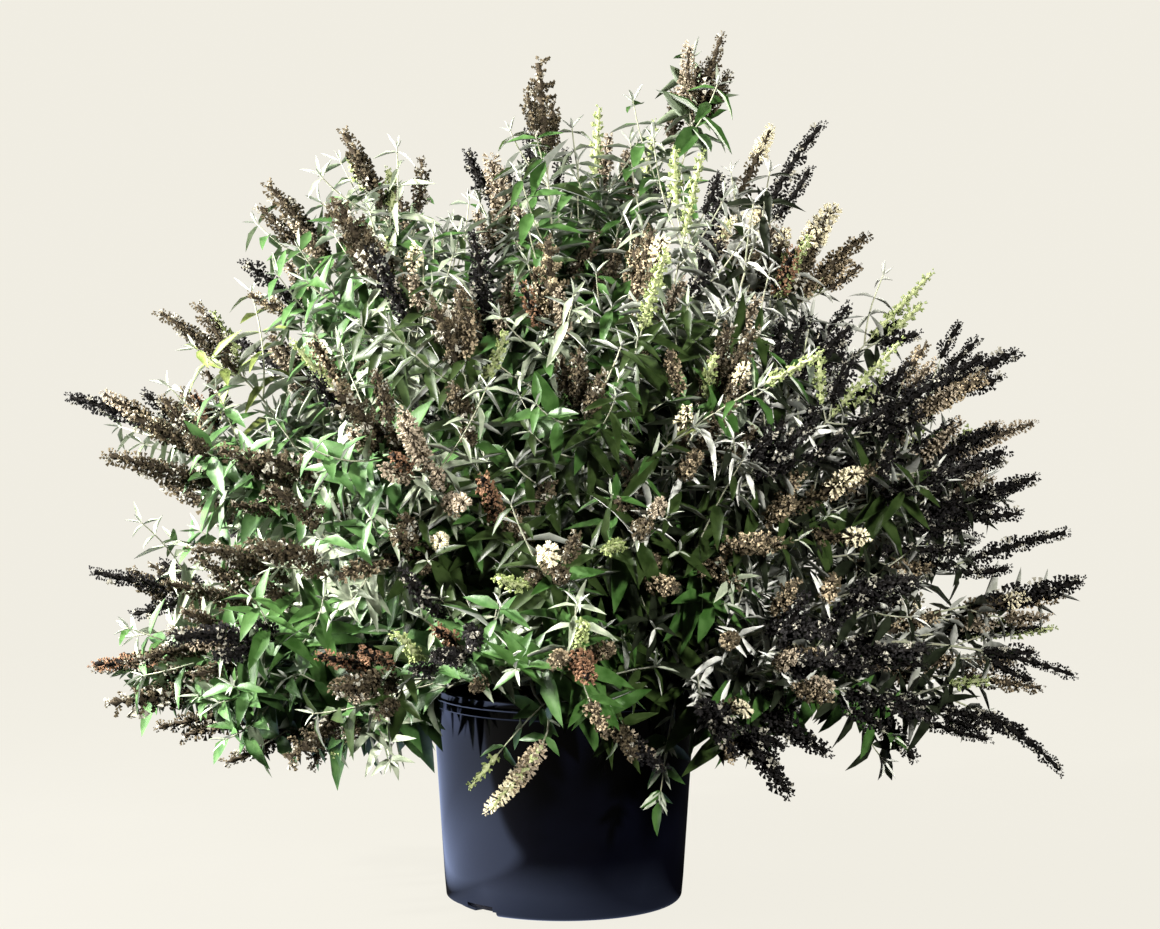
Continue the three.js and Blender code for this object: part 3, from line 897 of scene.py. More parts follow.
for tip in all_tips():
    bough = bough_towards(tip.direction)
    while any(side.dot(tip.direction) * tip.reach < SPIKE_MARGIN for side in bough.sides):
        tip.direction = tip.direction.lerp(bough.axis, 0.03).normalized()
    bough.tips.append(tip)
print("tips on each bough:", [len(bough.tips) for bough in BOUGHS])

# %% [markdown]
# ## Paths of shoots
#
# A shoot leaves its stem one way and bends until its spike points another way. A Bezier curve has
# just these two handles. It is kept as points with the distance along it to each, so that leaves
# can be set at even steps whatever its bend is.

# %% A path with distances


class Path:
    """A smooth path kept as points, with the distance along it to each point."""

    def __init__(self, points):
        self.points = points
        self.hangs = False
        self.reached = [0.0]
        for before, after in zip(points, points[1:]):
            self.reached.append(self.reached[-1] + (after - before).length)
        self.length = self.reached[-1]

    def at(self, distance):
        """The point at a distance along the path, and the direction of the path there."""
        distance = min(max(distance, 0.0), self.length)
        index = min(bisect_right(self.reached, distance), len(self.points) - 1)
        step = self.points[index] - self.points[index - 1]
        share = (distance - self.reached[index - 1]) / step.length
        return self.points[index - 1] + step * share, step.normalized()

    def sides_at(self, distance, roll):
        """The point and direction at a distance, and two directions square to the path."""
        centre, tangent = self.at(distance)
        chord = (self.points[-1] - self.points[0]).normalized()
        reference = Quaternion(chord, roll) @ square_to(chord)
        across = tangent.cross(reference).normalized()
        return centre, tangent, across.cross(tangent).normalized(), across


def bent_path(root, first_handle, second_handle, end, spans=22):
    """A path along a Bezier curve."""
    points = []
    for index in range(spans + 1):
        t = index / spans
        s = 1 - t
        near_root = root * s**3 + first_handle * (3 * s * s * t)
        points.append(near_root + second_handle * (3 * s * t * t) + end * t**3)
    return Path(points)


bend = bent_path(*(Vector(point) for point in ((0, 0, 0), (0, 0, 0.55), (0.45, 0, 1), (1, 0, 1))))
print("a quarter turn is", round(bend.length, 3), "long")

# %% [markdown]
# The next two helpers draw the path of a shoot from its root to its tip, and find that root on the
# stem. Both try the freest bend first and take a tamer one where it would leave the cone.

# %% Shoots leave a stem
HANGING_HANDLE = 0.21
ROOT_HANDLE = 0.3
TIP_HANDLE = 0.42


def shoot_path(root, leaving, tip, bough):
    """The path of a shoot: it leaves its root one way and ends along the tip's aim."""
    end = tip.point
    span = (end - root).length
    root_handle = root + leaving * (ROOT_HANDLE * span)
    if tip.look == "opening":
        hanging = bent_path(root, root_handle, end - tip.aim * HANGING_HANDLE, end)
        hanging.hangs = True
        return hanging
    aims = [tip.aim, (tip.aim + tip.direction).normalized(), tip.direction]
    handles = [end - aim * (TIP_HANDLE * span) for aim in aims]
    fitting = [handle for handle in handles if bough.holds(handle, SPIKE_MARGIN)]
    return bent_path(root, root_handle, (fitting or handles[2:])[0], end)


def fork_of(stem, rank, tip, bough):
    """Where a side shoot leaves its stem, and how. The inner ones leave further out."""
    root, tangent = stem.at(stem.length * between(0.42, 0.03, rank))
    outward = tip.point - root
    outward = (outward - tangent * outward.dot(tangent)).normalized()
    span = ROOT_HANDLE * (tip.point - root).length
    for share in (1.1, 0.6, 0.3):
        leaving = (tangent + outward * share).normalized()
        if bough.holds(root + leaving * span, 0.004):
            return root, leaving
    return root, tangent


top = BOUGHS[-1]
shoot = shoot_path(top.axis * (top.length + GAP), top.axis, top.tips[0], top)
print("a shoot of the top bough is", round(shoot.length, 3), "m long")

# %% [markdown]
# ## Places that stay free
#
# Leaves mustn't cut into the pot. Two gaps also stay open as on the real plant: one before the
# brim, so that its bead shows, and one where the sunlight falls in on the hanging spike. Each rule
# is a small test on a point.

# %% Tests for free places
HANGING_MIDDLE = Vector((-0.045, -0.395, 0.265)) - HEAD
TO_LAMP = (KEY_PLACE - HEAD - HANGING_MIDDLE).normalized()


def clear_of_pot(point):
    """Whether a point is clear of the pot's wall and of the ground."""
    place = point + HEAD
    if place.z < 0.095:
        return False
    return place.z > POT_HEIGHT + 0.010 or math.hypot(place.x, place.y) > BRIM_RADIUS + 0.012


def seen_from_front(point):
    """Where a point is seen from the camera: across and up on the plane Y = 0."""
    place = point + HEAD
    depth = (place.y - EYE.y) / -EYE.y
    return EYE.x + (place.x - EYE.x) / depth, EYE.z + (place.z - EYE.z) / depth


def before_pot(point):
    """Whether a point is in the gap through which the brim is seen."""
    across, up = seen_from_front(point)
    right_end = 0.035 if up < 0.23 else -0.02
    return point.y < 0 and -0.18 < across < right_end and 0.13 < up < 0.288


def kept_open(point):
    """Whether a point is before the brim, or where light falls on the hanging spike."""
    away = (point - HANGING_MIDDLE).dot(TO_LAMP)
    in_light = away > 0.03 and (point - HANGING_MIDDLE - TO_LAMP * away).length < 0.04
    return in_light or before_pot(point)


def crosses_gap(path):
    """Whether the outer part of a path runs before the brim. Such a shoot isn't grown."""
    shares = (0.35, 0.5, 0.65, 0.8, 0.9, 1.0)
    return not path.hangs and any(before_pot(path.at(path.length * share)[0]) for share in shares)


def in_low_corner(point):
    """Whether a point is in the low right corner, where single spikes stand apart."""
    return point.x > 0.42 and point.z < 0.05


print("the stool's head is seen at", [round(part, 3) for part in seen_from_front(Vector((0, 0, 0)))])

# %% [markdown]
# ## Tints of the leaves
#
# The leaves of one spray share a tint, and the tints also paint in the light. Broad fresh green
# ones grow low on the left and small grey felted ones above, paler on the lit left; deep green ones
# in the middle and near-black ones on the right are painted shade, and a few ashen sprays on the
# right are partly pale felt and partly painted highlights. So a spray draws its tint from a list of
# shares, and the list depends on where it grows.

# %% Deal out the tints
# Paler tints on the lit left and dark ones in the shaded middle and right are painted light and shade.
SHARES = {
    # where the spray grows: tints, each with the share of the sprays up to it
    "right": [("dusk", 0.7), ("ash", 0.76), ("deep", 0.99), ("turning", 1.0)],
    "low right": [("dusk", 0.42), ("deep", 0.84), ("mid", 0.985), ("turning", 1.0)],
    "left": [("grey", 0.5), ("bright", 0.85), ("mid", 0.97), ("deep", 0.98), ("turning", 1.0)],
    "low": [("bright", 0.5), ("mid", 0.8), ("deep", 0.94), ("grey", 0.99), ("turning", 1.0)],
    "middle": [("deep", 0.62), ("mid", 0.86), ("bright", 0.91), ("grey", 0.99), ("turning", 1.0)],
    "high": [("grey", 0.3), ("mid", 0.54), ("bright", 0.64), ("deep", 0.99), ("turning", 1.0)],
}


def spray_tint(direction, key):
    """The tint of a spray's leaves by where it grows, paler on the lit left and darker in the shaded middle
    and right as painted shade.
    """
    if chance(key, 72) < 2.0 * (direction.x - 0.04):
        part = "right" if direction.z > 0.12 or direction.x > 0.85 else "low right"
    elif direction.z > 0.1 and chance(key, 75) < 1.4 * (-0.3 - direction.x):
        part = "left"
    elif chance(key, 73) < 0.95 - 1.5 * direction.z:
        part = "low"
    else:
        part = "middle" if abs(direction.x) < 0.42 and direction.z < 0.72 else "high"
    draw = chance(key, 71)
    return next(tint for tint, share in SHARES[part] if draw <= share)


tints = [spray_tint(tip.direction, tip.key) for bough in BOUGHS for tip in bough.tips]
print("main shoots by tint:", {tint: tints.count(tint) for tint in sorted(set(tints))})

# %% [markdown]
# ## Leaves by pairs
#
# Leaves stand opposite each other on a square twig, and each pair is a quarter turn on from the
# last. In a leaf's armpit sits a tuft of small felted leaves. A leaf is only collected here as a
# plain row. Geometry Nodes will set the real leaves later, which is far quicker than one object each.

# %% Rows for leaves
LEAVES = {}     # tint of the spray: list of (root, along, upper side, length, width, form)
LITTLE = {}     # the same for the tufts
BIG_FORMS = 5
SIDE_FORMS = 3
LITTLE_FORMS = 2
FINE_FROM = 0.07
SLIMMER = {"grey": 0.8, "ash": 0.64, "dusk": 0.9}
WIDER = {"bright": 0.1, "mid": 0.09, "deep": 0.03, "ash": -0.07}
THINNEST = 0.55


def add_leaf(store, tint, root, along, face, length, width, form, free=False):
    """One more leaf, unless it would cut into the pot or close a gap that it may not close."""
    ends = (root + along * length, root + along * (0.5 * length))
    if all(clear_of_pot(end) and (free or not kept_open(end)) for end in ends):
        store.setdefault(tint, []).append((root, along, face, length, width, form))


def facing_square(wanted, along):
    """The way nearest to the wanted one that is square to a leaf."""
    return (wanted - along * wanted.dot(along)).normalized()


def leaf_stance(outward, tangent, forward, droop):
    """The way a leaf points and the way its upper side faces."""
    along = (outward + tangent * forward - Vector((0, 0, droop))).normalized()
    return along, facing_square(tangent * 0.6 + Vector((0, 0, 0.6)), along)


def thinned(point, key):
    """Whether a pair is left out. The crown gets thinner to the right, where sky shows through."""
    return chance(key, 19) < (0.8 if in_low_corner(point) else min(THINNEST, 2.4 * (point.x - 0.04)))


def add_pair(centre, tangent, sideways, length, tint, key, droop=0.12, free=False):
    """Two opposite leaves at a joint. Longer ones take one of the finer forms."""
    length *= SLIMMER.get(tint, 1.0)
    first_form, forms = (0, BIG_FORMS) if length > FINE_FROM else (BIG_FORMS, SIDE_FORMS)
    steep = max(0.0, tangent.z)
    for half, outward in enumerate((sideways, -sideways)):
        salt = 20 + half
        forward = between(0.15, 0.85, chance(key, salt)) - 0.35 * steep
        along, face = leaf_stance(outward, tangent, forward, droop + 0.12 * steep)
        face = Quaternion(along, 0.9 * (chance(key, salt + 2) - 0.5)) @ face
        size = length * between(0.78, 1.15, chance(key, salt + 4))
        width = between(0.24, 0.34, chance(key, salt + 6)) * (1 - 0.2 * steep) + WIDER.get(tint, 0.0)
        form = first_form + int(chance(key, salt + 8) * forms)
        add_leaf(LEAVES, tint, centre, along, face, size, width, form, free)


def add_tuft(centre, tangent, outward, size, tint, key):
    """Small young leaves in the armpit of a leaf. In a near-black spray they are near white, partly pale
    felt and partly painted highlights.
    """
    young = "ash" if tint in ("dusk", "ash") else "young"
    for blade in range(3):
        swing = Quaternion(tangent, 2.1 * (blade - 1) + 0.6 * chance(key, 40 + blade)) @ outward
        along, face = leaf_stance(swing, tangent, 0.9 + chance(key, 43 + blade), 0.05)
        length = size * between(0.6, 1.1, chance(key, 46 + blade))
        form = int(chance(key, 49 + blade) * LITTLE_FORMS)
        add_leaf(LITTLE, young, centre, along, face, length, 0.2, form)


spot = Vector((0.3, 0, 0))
print("left out on the right:", sum(thinned(spot, key) for key in range(100)), "in a hundred")

# %% [markdown]
# ## Side shoots
#
# A butterfly bush branches from the same armpits. A side shoot is short and straight, has small
# leaves and may end in a small spike. Like every path it is drawn as a Bezier curve. Where its end
# would leave the crown or fill a gap, it is drawn shorter, and is left out after four tries.

# %% One side shoot
TWIGS = []      # path, radius at its root, radius at its end, length up to its spike
SPIKES = []     # path, where the spike starts on it, radius, look, key
SIDE_STEP = 0.025
SIDE_RADII = (0.0014, 0.0009)
TRIES = 4
LOW_END = 0.2
SIDE_SPRAYS = {
    # tint of the shoot: the tint that its side shoots may have, and how often they have it
    # Side shoots of the near-black sprays often turn near white: partly pale felt, partly painted
    # highlights.
    "dusk": ("ash", 0.32), "bright": ("grey", 0.16), "mid": ("grey", 0.12), "deep": ("mid", 0.2),
}
SIDE_LOOKS = [("budding", 0.075), ("bloom", 0.11), ("fading", 0.22), ("tan", 0.3)]


def side_look(look, key):
    """A side spike is often at another stage than its main spike."""
    draw = chance(key, 81)
    for other, share in SIDE_LOOKS:
        if draw < share:
            return other
    return "black" if look == "budding" else look


def side_path(root, tangent, outward, length, limit, key, hug):
    """The path of a side shoot that ends in a free place, or None."""
    lift = Vector((0, 0, between(0.0, 0.35, chance(key, 82))))
    leaving = (outward + tangent * (hug + between(0.5, 1.0, chance(key, 83)))).normalized()
    ending = (leaving * 0.6 + tangent * (hug + between(0.2, 0.9, chance(key, 84))) + lift).normalized()
    for _ in range(TRIES):
        end = root + leaving * (0.45 * length) + ending * (0.55 * length)
        if end.length < limit and end.z + HEAD.z > LOW_END and clear_of_pot(end) and not kept_open(end):
            handle = 0.35 * length
            path = bent_path(root, root + leaving * handle, end - ending * handle, end, 7)
            return None if crosses_gap(path) else path
        length *= 0.75
    return None


def grow_side(root, tangent, outward, length, limit, tint, look, spiked, key, hug=0.0):
    """A side shoot with its small leaves, and a small spike if it is spiked."""
    if not spiked and thinned(root, key):
        return
    paler, share = SIDE_SPRAYS.get(tint, (tint, 0.0))
    if chance(key, 74) < share:
        tint = paler
    path = side_path(root, tangent, outward, length, limit, key, hug)
    if not path:
        return
    spike = min(0.75 * path.length, between(0.055, 0.110, chance(key, 85))) if spiked else 0.0
    leafy = path.length - spike
    TWIGS.append((path, *SIDE_RADII, leafy))
    if spiked:
        SPIKES.append((path, leafy, 0.0095 + 0.05 * spike, side_look(look, key), key))
    joints = max(1, round(leafy / SIDE_STEP))
    roll = chance(key, 86) * math.pi
    for joint in range(joints):
        share = (joint + 0.7) / joints
        centre, along, upward, across = path.sides_at(leafy * share, roll)
        sideways = upward if joint % 2 else across
        add_pair(centre, along, sideways, between(0.080, 0.044, share), tint, key * 7 + joint, 0.1)
    if not spiked:
        centre, along, upward, across = path.sides_at(path.length * 0.98, roll)
        add_tuft(centre, along, upward, 0.030, tint, key + 9)


looks = [side_look("brown", key) for key in range(100)]
print("like their main spike:", looks.count("brown"), "in a hundred")

# %% [markdown]
# ## A whole shoot
#
# The rule walks along a shoot and lays down what grows at each joint: a pair of leaves, and in each
# armpit a side shoot, a tuft or nothing. Right below the spike come up to four side spikes.

# %% One shoot from joint to joint
JOINT_STEP = 0.034
USUAL_GIRTH = (0.014, 0.021)
GIRTH = {
    # look of the spike: its least and greatest radius
    "black": (0.013, 0.0185), "brown": (0.0135, 0.021), "budding": (0.011, 0.0135),
    "opening": (0.0145, 0.015),
}
SIDES_PER_JOINT = 0.42


def diagonals(upward, across, odd):
    """One of the two slanting directions, so that each pair stands a quarter turn on."""
    return (upward + across if odd else upward - across).normalized()


def grow_armpits(sideways, share, centre, tangent, place, spiked, sides, limit, tint, look):
    """What grows in the two armpits of a joint: a side shoot, a tuft or nothing."""
    for half, outward in enumerate((sideways, -sideways)):
        number = place * 2 + half
        if share > 0.15 and chance(number, 89) < sides * between(0.6, 1.3, share):
            length = between(0.17, 0.13, share) * between(0.7, 1.2, chance(number, 90))
            often = 0.5 if centre.z < 0.42 and not in_low_corner(centre) else 0.22
            with_spike = spiked and share > 0.45 and chance(number, 91) < often
            grow_side(centre, tangent, outward, length, limit, tint, look, with_spike, number)
        # Tufts come more often in the near-black and ashen sprays, where they are near white: partly painted
        # highlights.
        elif chance(number, 92) < (0.8 if tint in ("dusk", "ash") else 0.5):
            add_tuft(centre, tangent, outward, 0.036, tint, number)


def grow_side_spikes(path, leafy, roll, limit, tint, look, key):
    """Small spikes on short shoots that hug the foot of the main spike."""
    for rank in range(2):
        centre, tangent, upward, across = path.sides_at(leafy - 0.006 - 0.024 * rank, roll)
        sideways = diagonals(upward, across, rank)
        often = 0.5 if centre.x > -0.2 and centre.z < 0.5 and not in_low_corner(centre) else 0.25
        for half, outward in enumerate((sideways, -sideways)):
            number = key * 64 + 50 + rank * 2 + half
            if chance(number, 98) < often:
                length = between(0.085, 0.14, chance(number, 99))
                grow_side(centre, tangent, outward, length, limit, tint, look, True, number, 0.8)


def grow_shoot(path, spike, radii, first, tint, look, limit, key, sides=SIDES_PER_JOINT):
    """A shoot with all that grows on it, and a spike at its tip if it has one."""
    if crosses_gap(path):
        return
    leafy = path.length - spike
    TWIGS.append((path, *radii, leafy))
    if spike:
        slim, stout = GIRTH.get(look, USUAL_GIRTH)
        girth = between(slim, stout, chance(key, 87) ** 2)
        SPIKES.append((path, leafy, girth * (0.85 if in_low_corner(path.points[-1]) else 1.0), look, key))
    joints = max(1, round((leafy - first) / JOINT_STEP))
    roll = chance(key, 7) * math.pi
    smaller = 0.45 if path.hangs else 1.0
    for joint in range(joints):
        share = (joint + 0.6) / joints
        centre, tangent, upward, across = path.sides_at(between(first, leafy, share), roll)
        sideways = diagonals(upward, across, joint % 2)
        place = key * 64 + joint
        if chance(place, 88) < between(0.72, 1.0, share) and not thinned(centre, place):
            length = smaller * between(0.118, 0.072, share**1.4)
            add_pair(centre, tangent, sideways, length, tint, place, free=path.hangs)
        grow_armpits(sideways, share, centre, tangent, place, bool(spike), sides, limit, tint, look)
    if spike and sides:
        grow_side_spikes(path, leafy, roll, limit, tint, look, key)
    elif not spike:
        centre, tangent, upward, across = path.sides_at(path.length * 0.98, roll)
        add_tuft(centre, tangent, upward, 0.036, tint, key + 7)


print("pairs stand", JOINT_STEP, "m apart, and", SIDE_STEP, "m on side shoots")

# %% [markdown]
# ## The whole crown
#
# Each bough grows its stem, then its other main shoots, then a few more between them, and more of
# these on the right. Short shoots without a spike fill the inside. A list adds six shoots at the
# right edge, where single spikes stand against the sky.

# %% Kinds of shoots
STEM_RADII = (0.0036, 0.0016)
TWIG_RADII = (0.0023, 0.0013)
FINE_RADII = (0.0018, 0.0009)
ROOM = 0.985
RIGHT_SHOOTS = 3
FILL_SHOOTS = 4
EDGE_RANK = 0.3
EDGE_SPIKE = 0.145
EDGE_SHOOTS = [
    # turn and rise of the tip, its reach, turn and rise of the spike's aim, the spike's look
    (358, 27, 0.717, 0, 18, "fading"), (3, 20.8, 0.675, 0, 12, "black"),
    (353, 15, 0.705, 0, 13, "black"), (4, 2.8, 0.682, 0, 8, "budding"),
    (1, -4, 0.66, 0, -8, "tan"), (352, 22, 0.69, 0, 20, "black"),
]


def grow_fork(stem, rank, tip, bough, first, tint=None, radii=TWIG_RADII, room=ROOM, sides=SIDES_PER_JOINT):
    """A shoot that forks off a stem and grows to a tip."""
    tint = tint or spray_tint(tip.direction, tip.key)
    root, leaving = fork_of(stem, rank, tip, bough)
    path = shoot_path(root, leaving, tip, bough)
    grow_shoot(path, tip.spike, radii, first, tint, tip.look, tip.reach * room, tip.key, sides)


def extra_tip(tips, index, key):
    """A tip half way between a central and an outer tip of a bough."""
    direction = (tips[index].direction + tips[-1 - index].direction).normalized()
    reach = reach_at(direction) * between(0.9, 0.99, chance(key, 94))
    spike = between(0.12, 0.15, chance(key, 5))
    return Tip(direction, reach, direction, spike, key, usual_look(direction, key))


def edge_tips(bough):
    """The tips from the list of edge shoots that belong to a bough."""
    tips = [
        Tip(heading(turn, rise), reach, heading(aim_turn, aim_rise), EDGE_SPIKE, 2500 + index, look)
        for index, (turn, rise, reach, aim_turn, aim_rise, look) in enumerate(EDGE_SHOOTS)
    ]
    return [tip for tip in tips if bough_towards(tip.direction) is bough]


def fill_tip(bough, tips, index, key):
    """A tip inside the crown, somewhere towards one of the bough's tips."""
    toward = tips[index % len(tips)].direction
    direction = bough.axis.lerp(toward, between(0.3, 1.0, chance(key, 93))).normalized()
    reach = reach_at(direction) * between(0.55, 0.8, chance(key, 94))
    return Tip(direction, reach, direction, 0.0, key, "brown")


print("edge shoots on each bough:", [len(edge_tips(bough)) for bough in BOUGHS])

# %% Grow the whole crown
for number, bough in enumerate(BOUGHS):
    tips = sorted(bough.tips, key=lambda tip: -tip.direction.dot(bough.axis))
    main = tips[0]
    stem = shoot_path(bough.axis * (bough.length + GAP), bough.axis, main, bough)
    tint = spray_tint(main.direction, main.key)
    grow_shoot(stem, main.spike, STEM_RADII, 0.02, tint, main.look, main.reach * ROOM, main.key)
    for index, tip in enumerate(tips[1:]):
        grow_fork(stem, (index + 1) / len(tips), tip, bough, 0.03)
    for index in range(RIGHT_SHOOTS if bough.axis.x > 0.4 else 1):
        tip = extra_tip(tips, index, 2000 + number * 16 + index)
        grow_fork(stem, (index + 0.5) / len(tips), tip, bough, 0.05)
    for tip in edge_tips(bough):
        # Edge shoots take the near-black tint of the shaded right, painted shade.
        grow_fork(stem, EDGE_RANK, tip, bough, 0.05, "dusk", room=1.0)
    for index in range(FILL_SHOOTS if bough.axis.x < 0.35 else 1):
        tip = fill_tip(bough, tips, index, 1000 + number * 16 + index)
        if bough.holds(tip.point, 0.002):
            rank = (index + 1) / FILL_SHOOTS
            grow_fork(stem, rank, tip, bough, 0.02, radii=FINE_RADII, room=1.05, sides=0.5)
print("so far:", len(TWIGS), "twigs,", len(SPIKES), "spikes,", sum(map(len, LEAVES.values())), "leaves")

# %% [markdown]
# ## Sprigs given one by one
#
# A rule gives a typical plant. A few sprigs that catch the eye on the real one are given one by one:
# thin ones that hang over the pot and at the low left, and a long pale stem before the middle of the
# crown that ends in a lime bud spike.

# %% Set the sprigs
SPRIG_FACE = Vector((-0.4, -0.8, 0.5))
SPRIGS = [
    # root, end (from the ground), length of the spike, its look, tint, length of the end leaf
    ((0.15, -0.20, 0.31), (0.125, -0.27, 0.185), 0.0, "brown", "mid", 0.045),
    ((0.42, -0.08, 0.36), (0.437, -0.06, 0.225), 0.04, "fading", "dusk", 0.06),
    ((0.02, -0.30, 0.345), (-0.118, -0.40, 0.225), 0.06, "budding", "mid", 0.0),
    ((-0.24, -0.12, 0.38), (-0.285, -0.16, 0.275), 0.0, "brown", "bright", 0.095),
    ((-0.26, -0.10, 0.38), (-0.315, -0.12, 0.30), 0.0, "brown", "bright", 0.10),
    ((-0.50, -0.02, 0.36), (-0.555, -0.02, 0.29), 0.0, "brown", "bright", 0.07),
    ((0.07, -0.36, 0.60), (0.311, -0.53, 0.780), 0.085, "budding", "mid", 0.0),
]
for number, (root, end, spike, look, tint, end_leaf) in enumerate(SPRIGS):
    root = Vector(root) - HEAD
    end = Vector(end) - HEAD
    handles = root.lerp(end, 0.3) + Vector((0, 0, 0.03)), end.lerp(root, 0.3) + Vector((0, 0, 0.01))
    sprig = bent_path(root, *handles, end, 9)
    sprig.hangs = True
    grow_shoot(sprig, spike, SIDE_RADII, 0.01, tint, look, 1.0, 5000 + number, 0.0)
    if end_leaf:
        centre, tangent = sprig.at(sprig.length)
        face = facing_square(SPRIG_FACE, tangent)
        LEAVES[tint].append((centre, tangent, face, end_leaf, 0.34, number % BIG_FORMS))
print("with the sprigs:", len(TWIGS), "twigs and", len(SPIKES), "spikes")

# %% Leaves on the long stem
STEM_LEAVES = [
    # share of the last sprig at which the leaf stands, from there to its point, the way its upper
    # side faces, width, tint, form
    (0.25, (-0.060, -0.02, -0.074), (0.1, -0.9, 0.1), 0.19, "deep", 0),
    (0.27, (0.044, -0.01, 0.036), (0.2, -0.6, 0.8), 0.20, "turning", 1),
    (0.42, (0.048, -0.03, -0.050), (0.5, 0.6, 0.6), 0.20, "dusk", 2),
    (0.10, (0.040, -0.03, -0.055), (0.4, 0.7, 0.5), 0.19, "dusk", 2),
    (0.26, (0.045, -0.03, 0.000), (0.1, -0.4, 0.9), 0.21, "deep", 1),
]
for share, reach, face, width, tint, form in STEM_LEAVES:
    root = sprig.at(sprig.length * share)[0]
    along = Vector(reach).normalized()
    face = facing_square(Vector(face), along)
    LEAVES[tint].append((root, along, face, Vector(reach).length, width, form))
print("the long stem:", round(sprig.length, 3), "m")

# %% [markdown]
# ## Spikes that are known from the front
#
# Some spikes are easy to tell from the front: a cream one, a rusty one, a lime one. Each row below
# is a spot on the plane Y = 0 as the camera sees it. The spike that is seen nearest to the spot, and
# not hidden at the back, takes the look of the row.

# %% Give known spikes their look
SPOTS = [
    # across and up on the plane Y = 0, and the look of the spike nearest to the spot
    (0.16, 1.107, "fading"), (0.049, 1.072, "budding"), (0.12, 0.954, "budding"),
    (0.233, 0.903, "opening"), (0.283, 0.877, "rust"), (0.346, 0.846, "budding"),
    (0.318, 0.712, "budding"), (0.3, 0.45, "tan"), (0.36, 0.4, "tan"), (0.513, 0.818, "budding"),
    (0.128, 0.784, "budding"), (-0.147, 0.468, "bloom"), (-0.031, 0.521, "bloom"),
    (0.344, 0.535, "bloom"), (0.059, 0.521, "budding"), (0.279, 0.365, "fading"),
    (0.173, 0.413, "tan"), (0.249, 0.323, "tan"), (0.063, 0.302, "rust"), (-0.001, 0.392, "rust"),
    (0.029, 0.396, "budding"), (-0.054, 0.378, "budding"), (-0.16, 0.369, "bloom"),
    (0.565, 0.371, "fading"), (0.241, 0.544, "tan"), (0.173, 0.489, "tan"), (0.172, 0.743, "tan"),
    (0.61, 0.647, "fading"), (0.668, 0.369, "black"), (0.118, 0.232, "black"),
    (-0.09, 1.08, "brown"), (-0.352, 0.366, "rust"), (-0.268, 0.314, "rust"),
    (-0.154, 0.403, "rust"), (-0.489, 0.71, "rust"), (-0.209, 0.607, "rust"),
    (-0.1, 0.523, "rust"), (-0.052, 0.79, "rust"), (-0.373, 0.79, "tan"),
]
DEPTH_WEIGHT = 0.2


def spot_distance(spike, spot):
    """How far a spike's middle is seen from a spot. Spikes at the back count as far."""
    path, foot = spike[:2]
    middle = path.at((foot + path.length) / 2)[0]
    across, up = seen_from_front(middle)
    return math.hypot(across - spot[0], up - spot[1]) + DEPTH_WEIGHT * (middle.y + CROWN[1]) + path.hangs


for spot in SPOTS:
    nearest = min(range(len(SPIKES)), key=lambda index: spot_distance(SPIKES[index], spot))
    path, foot, radius, _, key = SPIKES[nearest]
    SPIKES[nearest] = (path, foot, radius, spot[2], key)
print("looks set by spot:", len(SPOTS))

# %% [markdown]
# ## Stool and boughs
#
# The stool is old wood: it flares where it meets the soil, narrows to a waist and swells into the
# knobbly head that yearly pruning leaves. The boughs are one or two years old, pale brown, with
# stringy bark and a slight swelling at each old joint. A bump in the finish could fake that, but
# then the outline would stay smooth. Here both are tubes of rings whose radius is pushed in and out
# by noise that is stretched along the wood, so the relief is real shape.

# %% Bark relief
SWELL = 0.14
STRINGS_ROUND = 2.6
NOISE_SCALE = 24
STRETCH = -16
WOOD_SHARP = 1.3
LIMB_RINGS = 44


def bark_rings(path, radius_at, sides, ridges, joints=0.0):
    """Rings of a limb with stringy relief, closed at both ends."""
    result = [[path.points[0]]]
    for index in range(LIMB_RINGS + 1):
        distance = path.length * index / LIMB_RINGS
        centre, tangent, upward, across = path.sides_at(distance, 0.0)
        radius = radius_at(index / LIMB_RINGS)
        swell = SWELL * max(0.0, math.cos(2 * math.pi * distance / joints)) ** 8 if joints else 0.0
        ring = []
        for side in range(sides):
            angle = 2 * math.pi * side / sides
            out = upward * math.cos(angle) + across * math.sin(angle)
            spot = Vector([part * STRINGS_ROUND for part in out]) + centre * NOISE_SCALE
            string = noise.noise(spot + tangent * (distance * STRETCH)) + 0.5 * noise.noise(spot * 2.3)
            ring.append(centre + out * (radius * (1 + swell + ridges * string)))
        result.append(ring)
    result.append([path.points[-1]])
    return result


old_bark = blotched(
    "old_bark", [(0.09, 0.062, 0.04), (0.23, 0.17, 0.115), (0.14, 0.1, 0.066)], 60.0, 0.9,
    relief=0.9, relief_scale=260.0, grain=(1, 1, 0.25),
)
young_bark = blotched(
    "young_bark", [(0.2, 0.145, 0.085), (0.33, 0.27, 0.18), (0.24, 0.18, 0.11)], 70.0, 0.8,
    relief=0.6, relief_scale=420.0,
)
print("finishes:", old_bark.name, "and", young_bark.name)

# %% [markdown]
# The stool leans a little, as most do, so it follows a bent path. A short list gives the radius of
# its lower part, and its head is a ball.

# %% The stool
FLARE = [(0.0, 0.041), (0.07, 0.032), (0.18, 0.024), (0.34, 0.022)]  # share of the height, radius
HEAD_LOW = -0.022
HEAD_HIGH = 0.027
HEAD_SHARE = 0.955
STOOL_SIDES = 56
STOOL_RIDGES = 0.07
stool_path = bent_path(
    Vector((0, 0, SOIL_TOP + GAP)), Vector((0, 0, HEAD.z - HEAD_RADIUS)),
    HEAD + Vector((0, 0, 0.5 * HEAD_LOW)), HEAD + Vector((0, 0, HEAD_HIGH)), 30,
)


def stool_radius(share):
    """Radius of the stool at a share of its height: root flare, waist, and a round head."""
    height = share * stool_path.length - (stool_path.length - HEAD_HIGH)
    if height > HEAD_LOW:
        return HEAD_SHARE * math.sqrt(HEAD_RADIUS**2 - height**2)
    return read_off(FLARE, share)


